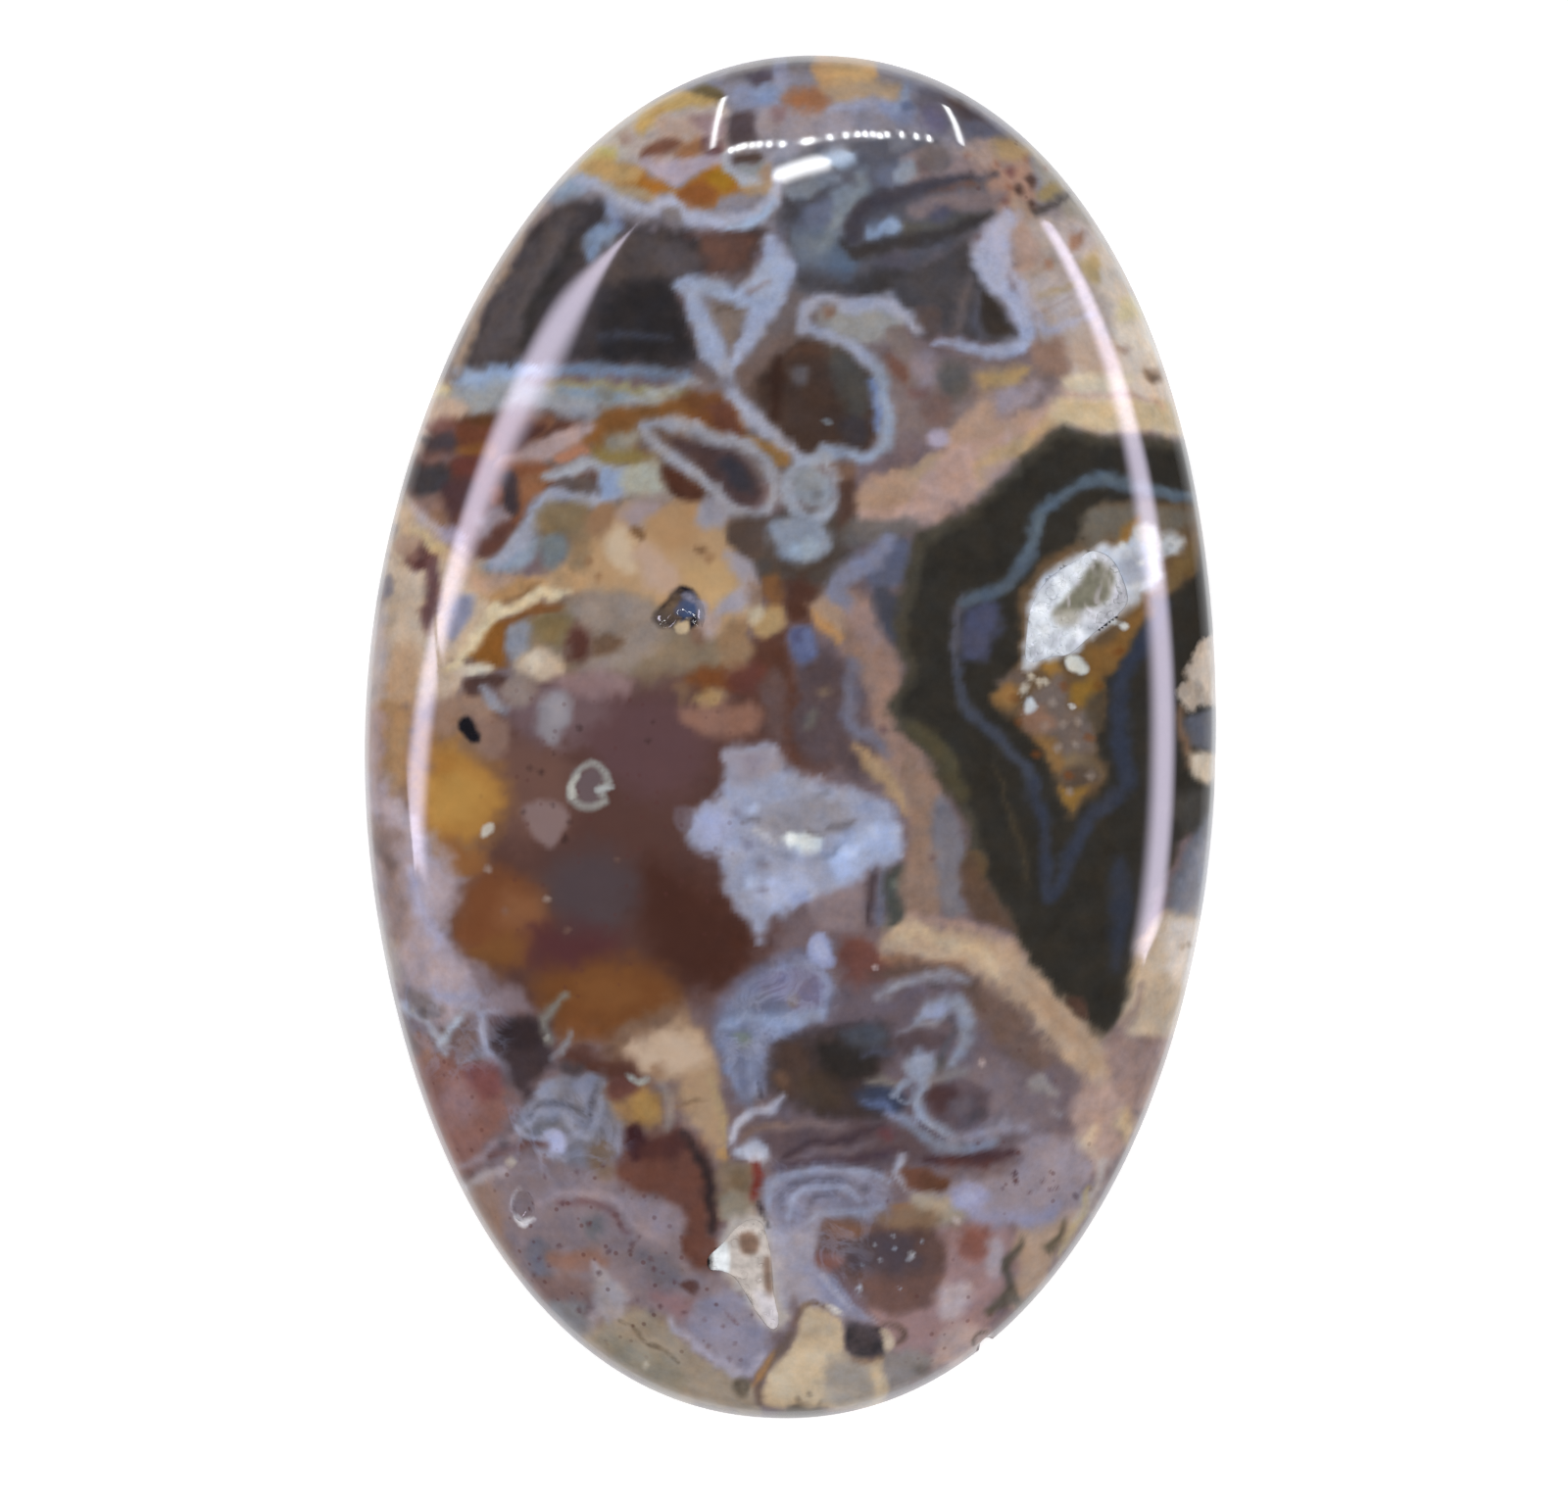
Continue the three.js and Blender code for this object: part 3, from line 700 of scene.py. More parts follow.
4d5c7e 3.5 690,624 698,612 710,614 712,626 704,630 692,629
8b8899 3.5 o.9 697,607 706,605 713,612 711,617 702,612
928f9d 4 712,612 722,618 721,634 713,632
c1a988 3 688,642 692,634 702,635 704,644 696,648
795b4b 5 o.8 700,644 716,642 722,654 710,660
vein 9d959d 20 s7 744,568,12 758,580 764,598 752,614 736,624,11
92755a 8 736,646 760,634 768,660 764,684 746,690 738,668
a68a63 6 770,632 784,618 800,622 802,640 784,650 772,646
c1af94 5 762,620 774,618 776,632 766,636
7a563a 7 776,592 794,584 806,600 800,618 782,618
4f352d 8 804,594 824,590 834,610 824,636 808,638 800,616
77492c 8 700,690 722,680 746,690 750,706 724,706 704,702
a8895f 6 o.9 706,714 722,704 740,710 738,722 716,724
8c685b 9 694,726 740,720 776,724 770,746 720,752
633b34 8 o.9 742,690 768,672 784,690 772,706 748,706
604c4a 9 776,700 800,690 806,730 800,756 782,750
5c6385 5 806,656 812,642 826,640 834,654 831,672 820,682 810,674
4f4f6c 4.6 o.9 811,648 820,643 821,656 812,660
6f7698 5 o.9 824,646 832,652 830,666 824,662
a58a76 7 824,620 832,610 846,606 860,622 860,650 844,640
vein ad845a 8 s5 830,624,4 840,636 850,646 858,656,5
595d72 9 880,580 900,552 926,548 932,572 920,596 894,604
64605f 7 o.85 862,538 890,528 930,530 934,544 900,552 868,556
a98c79 7 o.9 876,502 890,487 914,483 934,492 922,514 884,520
838a96 6 o.8 800,196 806,186 850,178 856,188 832,197 812,202
a3a9bd 6 o.6 840,160 846,148 866,150 872,158 858,168
a8a6b2 6 o.7 786,164 796,152 812,150 808,162
a89a84 5 o.8 620,190 640,187 660,194 664,204 640,201
7a7468 6 o.8 608,402 618,398 626,406 618,412
8a7060 6 o.8 760,598 770,594 776,606 768,614
80644e 6 o.8 686,700 698,698 706,708 696,716
ad9485 7 o.8 408,548 420,546 430,560 420,570 410,564
8f6f57 5 o.8 664,1086 676,1084 680,1096 668,1100
7d757c 6 o.8 706,396 726,388 752,388 748,398 722,402
vein 7d7e92 24 s7 906,552,12 888,572 866,586 852,602 868,618,14
8f7874 9 866,622 890,616 900,640 896,664 874,652
464650 7 893,600 910,604 926,630 918,656 905,652 894,630
vein 6f6d7d 14 s8 872,676,8 868,704 868,734 884,752 904,768,9
vein 94776b 18 s7 898,660,12 906,690 906,720 918,748 936,776,14
7d6d60 4.6 o.8 834,706 842,700 847,708 840,713
6b6660 5 o.8 824,730 834,726 836,740 826,744
vein a68a6c 16 s6 872,764,8 892,782 908,800 924,828,9
544030 5 924,782 932,780 936,790 930,796 923,792
flecks 5c424a 8 s4 o.8 950,876 902,744
# Left middle
4f3a36 5 473,700 482,692 500,689 517,692 511,701 497,703 487,710 479,708
8d7266 7 o.8 490,728 514,732 522,752 508,772 490,768 484,752
vein 8f8f9b 11 s4.6 494,702,7 505,714 515,727,6
1e1d23 3.5 467,739 478,729 486,741 491,754 483,757 474,750
8c868d 7 554,712 570,706 582,716 582,734 572,752 560,758 549,746 549,726
9c969c 5 o.6 562,718 573,716 571,738 561,740
67575a 5 583,799 589,787 603,782 614,789 618,801 611,817 601,821 589,817
loop a2a39f 6 s4 o.9 582,812 582,798 590,786 603,780 614,785 621,798 614,807 617,817 607,823 595,824 586,820
vein c4c4bc 6 s3.5 585,814,5 583,802 589,790,4
vein b4b8b8 5 s3.5 611,807,3 619,805 626,804,2
85706f 5 o.9 536,822 560,817 578,828 577,848 563,866 549,857 540,840
flecks 3a2a29 8 s3.5 o.8 591,743 577,856 552,788
flecks 3f2d2c 6 s3 o.7 565,769 533,828 582,839 564,821 540,784 661,758 667,738
c9c5bc 3 489,851 492,844 500,841 502,848 494,855
flecks a08c82 7 s3.5 o.8 557,917 498,887
flecks 7c6054 6 s3.5 o.7 578,948 628,879 517,930 430,742
vein a9a4bc 13 s8 420,890,8 426,920 440,948 446,962,7
vein b0a5b0 10 s7 o.8 404,818,6 420,846 432,880,7
vein 9791a2 10 s7 430,1012,6 456,1018 476,1020 490,1018,5
7b7072 6 414,1008 430,1014 448,1026 452,1036 436,1040 420,1030
5a5459 4 o.8 424,1028 438,1030 448,1036 436,1040 426,1036
vein 9ea0ae 7 s5 412,1026,4 420,1036 436,1046 450,1062 454,1076,5
vein aab2c2 7 s4.6 476,1028,4 468,1040 456,1052 450,1064,4
vein 8f8a98 8 s5 470,1030,5 492,1030 508,1032,4
vein 9fa0b4 8 s5 492,1036,5 490,1052 494,1068 500,1084,5
vein 8f8b98 8 s5 o.9 470,1084,5 486,1076 506,1086 512,1092,5
7d655f 6 o.9 462,1054 478,1046 484,1062 472,1074
916f62 7 428,1056 442,1064 448,1082 436,1084
372d30 8 506,1046 528,1038 552,1046 556,1066 530,1074 508,1064
544043 6 o.7 500,1034 516,1036 512,1048 502,1046
vein 7f7b75 8 s6 578,1016,5 562,1032 553,1046 558,1062,6
vein 7d7c84 8 s5 580,1054,5 574,1070 564,1078,4
flecks a6a099 5 s3 o.8 558,1058 420,1030
# Plume in the middle
837479 7 826,910 856,900 886,888 892,920 884,944 850,948 830,934
vein 4c4045 10 s5 889,884,6 888,910 886,944,6
vein 6d6d7d 10 s6 902,884,6 899,912 896,940,6
4a4b47 7 904,894 922,882 930,900 922,934 906,944
6a7068 5 o.8 910,900 918,898 920,908 912,910
989bb0 8 w5 740,768 764,758 790,763 800,781 822,795 850,803 880,809 905,821 919,840 922,862 912,880 884,888
 864,904 822,918 800,932 786,938 782,952 775,962 766,942 750,924 740,900 734,876 708,866 700,850 706,828
 730,812 740,792
958d97 8 742,772 766,764 788,768 796,782 784,800 754,800
989baf 10 756,806 800,790 850,802 880,812 860,826 800,824
918e98 8 776,836 820,814 856,820 860,846 826,852 794,856
a0a4c2 11 708,834 732,824 744,844 740,864 716,862
a9b1cf 10 776,900 820,890 826,908 796,926 778,926
a3afd0 11 850,866 890,836 912,846 914,868 880,884 852,892
8d8494 5 o.6 758,772 772,770 774,784 762,784
vein 747079 7 s4.6 o.9 760,836,5 774,834,4
vein 6c686d 8 s4.6 o.9 822,846,5 836,853,5
vein 6f6a70 7 s4.6 o.9 846,846,4 860,842 872,836,3
vein 7b7a84 6 s5 o.8 834,812,4 844,806,4
vein 7f8498 6 s5 o.9 774,862,3 790,868 806,876,4
vein 8088a0 5 s5 o.8 832,874,3 846,870 860,862,3
flecks 797483 10 s5 o.7 750,828 762,862 776,884 778,908
ccd3d8 4.6 800,852 812,848 830,852 838,864 824,872 806,864
e2e9ee 3.5 o.9 802,852 812,851 812,861 804,862
vein b7b6be 6 s4.6 o.9 770,846,3 782,854 792,862,3
vein bcc9ea 9 s5 o.9 852,874,4 866,868 880,862,5
flecks b4bdd8 13 s5 o.9 766,900 890,849 770,824
8f9bc4 6 o.7 806,912 820,908 826,918 810,922
9ba2c4 6 826,972 832,954 842,952 850,968 840,982
# Dark nodule on the right
48433a 7 935,543 985,523 1010,495 1042,470 1064,446 1086,434 1112,441 1200,448 1262,450 1275,600 1262,740
 1240,810 1200,860 1180,925 1160,960 1152,1002 1146,1035 1122,1064 1104,1053 1084,1032 1060,1010 1044,975
 1020,932 1000,906 985,880 988,850 968,812 945,775 925,750 903,722 922,690 912,640 922,590
302d29 6 o.9 950,552 990,532 1016,504 1045,480 1070,458 1088,446 1112,452 1200,460 1262,462 1275,600
 1262,740 1240,810 1200,860 1172,925 1156,955 1150,1002 1143,1032 1122,1058 1106,1049 1088,1028 1066,1006
 1050,975 1028,930 1008,900 1000,868 1002,850 985,815 965,785 940,745 918,722 935,690 925,640 936,592
4c4636 6 926,735 950,744 975,772 990,806 980,815 958,782 936,760
5f4c38 6 980,868 1000,866 1006,890 996,904 984,892
494b61 7 985,622 1012,612 1020,636 1008,668 988,672 980,648
vein 53525c 10 s5 982,606,4 976,640 977,680 984,706,5
vein 505a67 14 s5 1275,520,10 1225,508 1190,504 1150,494 1120,489 1100,498 1080,511 1064,522 1055,546
 1048,570 1034,590 1015,602 994,609 982,614,8
vein 606d78 6 s5 o.8 1215,504,3 1160,495 1120,488 1096,500 1070,516 1056,546 1046,572,3
vein 444752 12 s5 980,688,9 982,710 994,731 1016,751 1040,776 1056,802,12
vein 393c48 15 s6 1052,796,12 1063,826 1067,860 1072,912,14 1086,888 1098,862 1111,840 1130,817 1152,800,13
vein 363a47 19 s7 1153,800,15 1147,778 1142,748 1142,714 1150,682 1170,652 1186,622,15
vein 363944 22 s8 o.9 1142,880,12 1144,930 1138,990,10
vein 4b4133 4 s5 o.8 1012,782,2 1030,820 1042,868 1050,905,2
# Amber and crystals inside the nodule
64503c 6 1010,708 1032,692 1040,655 1038,620 1046,594 1066,572 1092,556 1110,540 1122,516 1150,511 1200,512
 1240,520 1228,560 1216,590 1190,606 1172,625 1152,664 1130,694 1126,722 1118,762 1130,786 1114,812 1094,832
 1082,814 1064,766 1040,744 1022,726
6d665c 9 1112,524 1150,516 1200,518 1216,530 1200,540 1150,546 1120,554 1104,560
916833 6 1150,536 1164,528 1156,552 1140,554
7c5b34 7 1106,664 1134,656 1150,640 1166,606 1176,612 1152,664 1128,694 1112,690
886630 6 1098,694 1124,696 1120,716 1100,720 1090,710
8f6d3a 5 1066,680 1080,676 1082,688 1070,692
735c3c 6 1194,582 1214,556 1222,544 1220,578 1206,590 1190,604
6c5f59 7 1056,704 1084,690 1092,724 1112,726 1116,760 1104,776 1078,770 1062,748 1046,738
75644f 5 1078,776 1096,764 1112,774 1124,788 1108,796 1086,796
8c6a38 5 1080,800 1098,794 1112,800 1104,816 1093,828 1083,816
7f6240 6 1056,752 1074,752 1084,776 1078,790 1064,770
57493f 7 1082,786 1108,778 1122,790 1104,804 1086,802
695b54 6 1018,694 1040,684 1046,698 1030,706
504437 6 1106,714 1128,706 1126,744 1112,740
8a6840 6 1012,708 1030,696 1040,706 1034,722 1022,722
86695a 6 1046,722 1070,722 1074,744 1058,750 1042,738
flecks 6f4526 11 s3.5 o.8 1040,736 1058,770 1092,792 1034,712 1120,700 1142,664 1112,752 1084,700
flecks 8d7f76 9 s3.5 o.85 1072,716 1084,742 1066,742 1100,738 1098,760 1092,808 1112,790 1080,764
c2c6d0 6 1115,557 1090,569 1066,588 1056,602 1050,622 1046,650 1045,682 1058,681 1064,674 1082,674 1102,666
 1108,655 1126,641 1146,627 1166,608 1182,600 1188,586 1184,560 1176,537 1158,538 1148,552 1130,557
a7abba 6 o.8 1146,566 1166,568 1172,592 1150,600 1140,584
vein d0d3da 7 s4 1138,590,4 1150,602 1164,598 1178,588,4
b3b6bb 5 1186,546 1200,542 1210,552 1204,566 1188,566 1182,556
flecks 7c7f86 6 s3 o.7 1194,555 1200,548 1190,562 1206,560
c9c6c2 4 1157,540 1168,535 1180,540 1184,560 1172,556 1160,548
d0d0c9 3 1085,672 1091,667 1101,673 1109,683 1105,688 1095,685 1087,680
ced6de 3 1045,720 1048,711 1053,712 1056,720 1052,727 1047,727
flecks c4b8a6 9 s3 1044,703 1051,692 1066,696 1059,698
flecks d8dad8 8 s3 1147,557 1165,574 1136,634 1147,638
loop b9b6b4 2 s2 1090,721 1093,719 1096,721 1093,724
# Right margin
cbbaab 4 w4 1275,640 1236,650 1219,660 1216,673 1211,684 1210,697 1202,706 1205,720 1217,726 1230,720
 1275,706
vein 7c6250 9 s5 o.9 1203,720,5 1205,742 1209,758 1212,784,4
5f606a 6 1210,732 1224,728 1240,720 1275,718 1275,770 1228,768 1215,758 1211,746
c9b9a6 5 1213,772 1240,768 1275,768 1275,810 1242,808 1226,800 1217,796 1214,784
45423f 8 1190,822 1212,806 1260,806 1250,860 1208,850
6d6e78 8 1241,812 1234,838 1222,850 1208,868 1200,884 1192,900 1194,925 1204,945 1250,945 1262,812
84848f 7 1214,880 1240,860 1240,930 1208,936 1204,906
# Round the nodule
8a7265 7 922,770 944,790 958,820 960,930 930,935 918,900 930,860
77737b 7 954,818 972,828 984,862 980,900 990,930 966,938 956,900
5f4b40 7 980,886 996,890 1020,924 1036,950 1010,946 990,930
vein 5f4a3c 8 s5 o.9 984,858,4 992,884 1000,912 1016,936,5
vein 9a7f77 12 s6 934,936,8 976,944 1014,956 1044,978,6
b09781 9 902,963 914,948 928,938 950,945 990,952 1036,968 1066,1000 1096,1030 1124,1062 1146,1092 1116,1104
 1088,1082 1060,1058 1032,1040 1004,1018 992,996 964,980 920,972 900,974
vein c4ae93 11 s8 916,958,5 935,950,9 965,962 1002,976 1016,1000,5
vein a98c74 14 s7 o.8 1050,1012,8 1080,1042 1112,1074,8
vein 8c6a55 8 s5 o.8 900,978,5 940,984 976,986 996,1006,4
75676a 8 986,1018 1004,1022 1036,1046 1066,1068 1100,1102 1086,1114 1046,1098 1010,1068 990,1044
bda994 8 1160,1000 1184,942 1212,932 1250,938 1238,1000 1214,1050 1180,1066 1150,1056 1150,1034
d8cbc2 8 1188,948 1212,938 1244,944 1236,1000 1216,1010 1192,990
vein 8f7a72 8 s6 o.8 1164,1004,5 1160,1030 1146,1048 1128,1062,5
flecks 8a6f4e 6 s3 o.6 1212,964 1206,966
98807a 9 1128,1072 1160,1062 1212,1060 1200,1110 1168,1136 1142,1114
vein 7b6563 6 s6 o.6 1126,1068,3 1150,1056 1172,1068 1184,1096,3
# Left of the foot
92767a 8 o.7 452,1112 480,1106 488,1130 470,1154 450,1136
77484a 8 o.7 476,1086 504,1088 514,1106 496,1122 480,1110
vein 655a60 9 s6 o.7 508,1080,4 518,1100 520,1124,5
72707b 7 554,1110 566,1098 602,1094 630,1106 638,1140 630,1176 600,1192 568,1184 534,1164 524,1150 538,1130
vein 93838a 10 s6 o.9 528,1156,6 508,1170 488,1182 468,1192,6
vein a1959b 9 s5 476,1214,5 498,1204 516,1194,4
vein 674a48 7 s5 500,1180,4 520,1172 544,1167 566,1170,4
3d3536 4 o.8 509,1164 517,1163 519,1172 511,1173
vein 4b4a54 6 s4 538,1142,3 552,1127 572,1126 592,1134,3
vein 8f90a1 9 s4.6 534,1148,5 552,1136 572,1137 588,1150 600,1158 610,1142 617,1120,5
6d6a6e 5 o.9 546,1146 562,1142 576,1148 566,1156 552,1156
vein 9a9aab 5 s4 526,1152,5 540,1160 554,1160 562,1153,3
a7a8c6 4.6 558,1151 570,1149 577,1162 573,1176 563,1174 556,1162
vein 8f8fa4 6 s5 552,1174,3 566,1180 576,1184,3
868797 5 552,1104 566,1100 570,1116 558,1128 548,1122
7f8092 5 588,1098 606,1096 606,1116 596,1128 588,1114
vein 474550 6 s4 o.9 607,1108,3 601,1126 600,1144,3
vein 8b8796 8 s5 o.8 616,1104,4 630,1122 633,1150 630,1176,5
4a4145 6 570,1086 594,1086 590,1096 574,1098
75604f 7 o.8 600,1168 620,1166 626,1196 606,1200
8f7151 7 620,1104 650,1104 674,1118 674,1142 654,1153 636,1146 622,1124
a3804f 6 646,1118 660,1116 672,1130 664,1144 648,1142
623e3a 6 o.9 622,1100 642,1098 650,1112 632,1124 620,1118
40272a 5 640,1152 654,1152 662,1168 652,1182 641,1174
vein 8c807b 10 s6 o.9 676,1106,6 685,1128 682,1150 668,1162,6
vein a4a7a2 6 s4 641,1098,4 651,1104 661,1100,4
4f3230 7 652,1166 690,1156 704,1168 690,1180 660,1182
vein 352a2b 11 s6 700,1158,5 714,1178 722,1200 727,1230 725,1256,8
vein 7a6048 4 s3 o.8 690,1128,2 706,1124 726,1122,2
vein a99470 8 s5 o.8 727,1096,4 736,1130 740,1170,5
# The dotted mauve field and the rim below it
8c7267 8 462,1212 500,1206 514,1240 516,1268 534,1298 510,1300 480,1250
vein 97888f 9 s6 548,1226,4 575,1218 610,1222 640,1234 652,1254 684,1264,5
vein 6f5055 6 s5 o.8 568,1229,4 596,1228 622,1236 640,1256,3
8c7f88 8 o.9 646,1222 690,1230 702,1256 672,1262 650,1244
6e6d7b 7 o.9 540,1272 560,1268 564,1296 548,1308
696971 6 o.9 596,1244 612,1242 620,1258 604,1262
6b656e 9 o.9 650,1278 672,1274 700,1300 690,1314 664,1304
896456 7 o.8 560,1282 600,1274 622,1284 606,1294 570,1294
7c625d 9 o.8 540,1306 590,1304 600,1326 566,1334
8c6a6c 9 o.7 664,1316 704,1322 734,1336 716,1348 676,1336
vein 9d939b 10 s6 606,1290,4 614,1306 614,1330 606,1348 592,1360,6
7f7c80 7 560,1330 590,1328 602,1350 590,1366 572,1352
9d959a 7 606,1300 622,1296 640,1326 634,1346 614,1342
vein a79b9c 10 s6 462,1216,7 484,1207 506,1196,5
8a8596 9 708,1330 748,1318 776,1345 786,1376 768,1400 735,1390 704,1362
vein a49fb0 10 s6 684,1350,6 706,1368 736,1392 764,1402 780,1382,6
vein a49fb0 9 s6 o.8 760,1310,5 772,1336 780,1362,5
5b413e 3.5 695,1311 704,1305 713,1312 705,1320
vein 6b4a50 4 s3 o.8 738,1336,2 746,1344 752,1350,2
8a8377 8 o.9 610,1366 650,1368 700,1400 690,1420 650,1404
vein 66594b 4 s3 632,1349,2 648,1356 661,1372 672,1374 692,1390,3
5f564c 4.5 746,1410 758,1406 766,1416 758,1426 748,1422
flecks 5a3f44 7 574,1229 629,1240 602,1249 633,1250 646,1269 645,1276 665,1286 667,1296 673,1334 611,1300
flecks 5f464c 5 571,1272 622,1275 560,1292 549,1285 676,1300 690,1308 652,1262 588,1194 556,1200 636,1215
 615,1190 718,1348 729,1331 736,1352 750,1371 724,1374 765,1340 700,1340 651,1326 545,1300 590,1338 745,1387
flecks c3bdb3 7 s3.5 o.8 657,1392 520,1187
vein d8d6de 7 s3 526,1242,4 535,1247 545,1243,4
vein b5b2bd 4 s3 o.8 521,1236,2 524,1222 531,1214,2
# Lower middle: the fold, the dark core beside it and the swirls on the right
665a62 14 800,1030 880,1005 950,990 1010,1010 1060,1060 1085,1110 1060,1165 960,1185 860,1190 780,1180
 775,1120 785,1050
6c5851 11 985,1000 1020,1015 1060,1055 1080,1085 1050,1095 1010,1060 990,1030
776a70 13 990,1080 1040,1085 1080,1120 1070,1160 1020,1150 990,1120
6f738a 7 728,1064 731,1036 747,1010 768,992 792,978 818,970 836,984 848,1002 848,1026 842,1044 814,1050
 797,1062 786,1070 784,1092 779,1114 766,1126 751,1120 742,1098 734,1080
vein 6b6475 13 s7 o.7 729,1040 744,1012 766,992 792,978 816,971
77718b 8 772,1005 792,986 818,980 836,992 842,1012 836,1036 812,1034 800,1020 786,1014
vein 8690aa 15 s7 744,1046,9 762,1036 784,1042 806,1042 838,1034,8
vein 838aa5 12 s7 770,1046,8 768,1066 766,1090 768,1112,6
vein 7f87a3 8 s5 o.9 738,1066,5 744,1088 752,1108,5
vein 6a6e86 9 s5 o.8 754,1082,5 758,1100 762,1114,5
vein 8b90a9 7 s5 o.8 790,990,4 812,982 832,990 842,1010 840,1030,4
vein 5f5e72 6 s5 o.7 772,1032,3 782,1024 800,1022,3
vein 60607a 6 s5 o.6 768,1010,3 786,1004 802,1000,3
7b7068 4 o.9 803,1015 811,1012 817,1020 812,1028 804,1025
737d7c 5 752,1056 760,1054 763,1066 755,1070
vein 45404a 5 s3 775,1104,3 777,1118,4
vein 49424a 9 s5 787,1068,5 800,1062 826,1056 852,1050 880,1044,6
9ba1c4 4 826,958 842,956 849,970 853,985 838,984 827,976
b4b8d4 4 o.6 831,962 841,962 846,974 836,975
423736 11 790,1072 812,1060 850,1053 902,1046 912,1075 900,1100 920,1135 880,1145 845,1140 810,1130 786,1112
312c2a 9 838,1064 870,1060 896,1074 890,1096 858,1102 842,1088
4f3d36 8 o.8 796,1064 815,1062 828,1084 822,1116 806,1120 796,1096
473a31 8 o.8 816,1098 846,1096 862,1112 846,1128 822,1124
654d40 5 790,1096 802,1092 808,1104 800,1112 791,1108
4c4e57 8 860,1054 892,1046 908,1056 900,1068 872,1068
vein 4a4b5a 9 s6 o.9 880,1076,5 900,1074 918,1068,4
3c4154 8 878,1112 900,1104 916,1112 924,1130 904,1136 884,1128
vein 5a6380 9 s5 880,1124,4 898,1127 912,1134,5
vein 8a8fab 7 s5 902,1136,4 916,1142 930,1146,3
# Browner folds under the core
5b4c51 8 784,1146 820,1140 870,1144 930,1150 960,1172 940,1186 880,1190 820,1186 786,1176
vein 7c6c6d 9 s6 o.8 788,1150,4 808,1148 838,1146 862,1150,4
vein 40333a 7 s5 o.8 800,1178,4 824,1168 858,1164 886,1154 902,1146,3
vein 74676f 7 s5 o.7 800,1186,4 830,1176 864,1174 898,1164,4
vein 4b3a44 8 s5 o.8 790,1190,4 812,1188 846,1186 880,1182 920,1172,4
653f45 6 o.8 898,1150 912,1152 910,1164 898,1162
vein 483337 13 s5 944,1182,6 980,1185 1010,1181 1040,1178,7
vein 5a3a37 8 s4.6 o.7 962,1186,5 990,1190 1012,1186,4
vein a5a5b6 10 s5 746,1164,6 752,1148 766,1136 786,1130 801,1119,5
vein 7a645c 7 s5 758,1160,4 774,1151 796,1146,4
vein bcbccb 6 s4 747,1160,4 753,1146 764,1137,3
a9abba 5 750,1170 762,1163 778,1164 784,1176 776,1187 762,1184 752,1178
c2c5d6 4 o.7 760,1174 774,1172 778,1182 766,1184
b08a5e 5 734,1170 744,1170 746,1182 736,1182
# Swirls beside the core
vein 5b4a44 13 s8 o.9 888,996,6 916,993 948,991 974,995 992,1010 998,1030,8
vein 85838f 11 s6 896,1020,7 914,1007 940,1001 964,994 988,1000,6
vein 9c9fac 5 s4 o.8 906,1011,4 920,1004 934,1002,3
vein 6a5f6b 8 s6 o.8 900,1030,5 924,1018 946,1012 970,1010,5
vein 464148 6 s5 o.9 948,1006,4 960,1005,4
vein 888c9b 15 s7 936,1044,8 948,1030 964,1020 978,1028 987,1048 985,1068 972,1086,9
9097b3 6 942,1032 956,1020 966,1024 962,1036 948,1040
vein 83818b 7 s5 920,1054,4 938,1047 954,1043 964,1034,4
vein 53525a 5 s4 969,1040,3 974,1052 968,1066 960,1084,4
56484c 6 914,1058 940,1053 962,1054 966,1066 948,1070 924,1076
54514c 5 o.8 954,1078 963,1076 964,1090 956,1092
8d92a4 6 924,1080 938,1072 954,1076 958,1090 948,1100 932,1098 924,1090
a4a8ba 4.5 o.8 932,1080 946,1078 950,1088 938,1094
vein 7d787c 10 s6 950,1104,6 968,1098 986,1094,5
vein 949aac 12 s6 932,1096,9 944,1106 938,1122 942,1138 956,1150 972,1160,7
loop 7d8191 4 s3.5 o.9 917,1112 925,1105 933,1111 933,1121 925,1126 917,1120
vein 858b9c 6 s4 934,1100,4 920,1108 911,1118,3
vein 7c746f 7 s4.6 884,1103,3 900,1101 918,1107,4
vein 7a8093 11 s6 918,1140,5 932,1152 950,1164 972,1172 996,1172 1018,1164,6
vein 50475a 4 s3 938,1144,2 950,1154 962,1160,2
vein 8a8695 14 s8 970,1164,7 1000,1158 1024,1150 1046,1152,9
5c4f56 7 946,1120 960,1108 984,1104 1006,1114 1010,1130 992,1144 964,1146 950,1134
4a373a 7 946,1116 960,1106 976,1112 976,1128 960,1134 948,1126
615a64 6 o.8 968,1124 986,1118 994,1128 980,1136
vein 4b454b 6 s5 984,1148,4 992,1140 1002,1136,3
vein 66606a 5 s4 o.8 1000,1150,3 1014,1144 1022,1134,3
8d8584 5 1048,1104 1060,1098 1070,1106 1078,1120 1066,1120 1054,1114
vein 877f84 6 s5 1074,1136,4 1082,1140,4
# Pinkish ground below them, and the pale loops
91858d 9 960,1208 1010,1200 1056,1186 1104,1172 1114,1204 1092,1240 1040,1252 985,1240 930,1230
9a8f99 8 o.8 1040,1168 1072,1160 1104,1178 1106,1200 1070,1196 1044,1186
8e8ba3 9 o.8 985,1232 1040,1236 1080,1232 1070,1248 1020,1252 990,1248
vein a2a2b1 9 s4.6 921,1181,6 917,1194 924,1207 938,1219,4
6c4a3e 5 921,1196 940,1192 956,1200 950,1216 930,1214
5f4032 5 944,1202 964,1200 970,1208 960,1216 946,1214
a1917f 6 930,1222 956,1220 980,1230 984,1248 960,1252 936,1242
83624a 5 910,1224 928,1228 930,1238 912,1236
9997b3 5 974,1214 992,1208 1006,1216 1000,1232 984,1238 972,1228
b3b2cb 4 o.7 980,1217 992,1213 996,1224 984,1230
flecks 4a343c 7 1036,1206 1035,1197 1098,1222
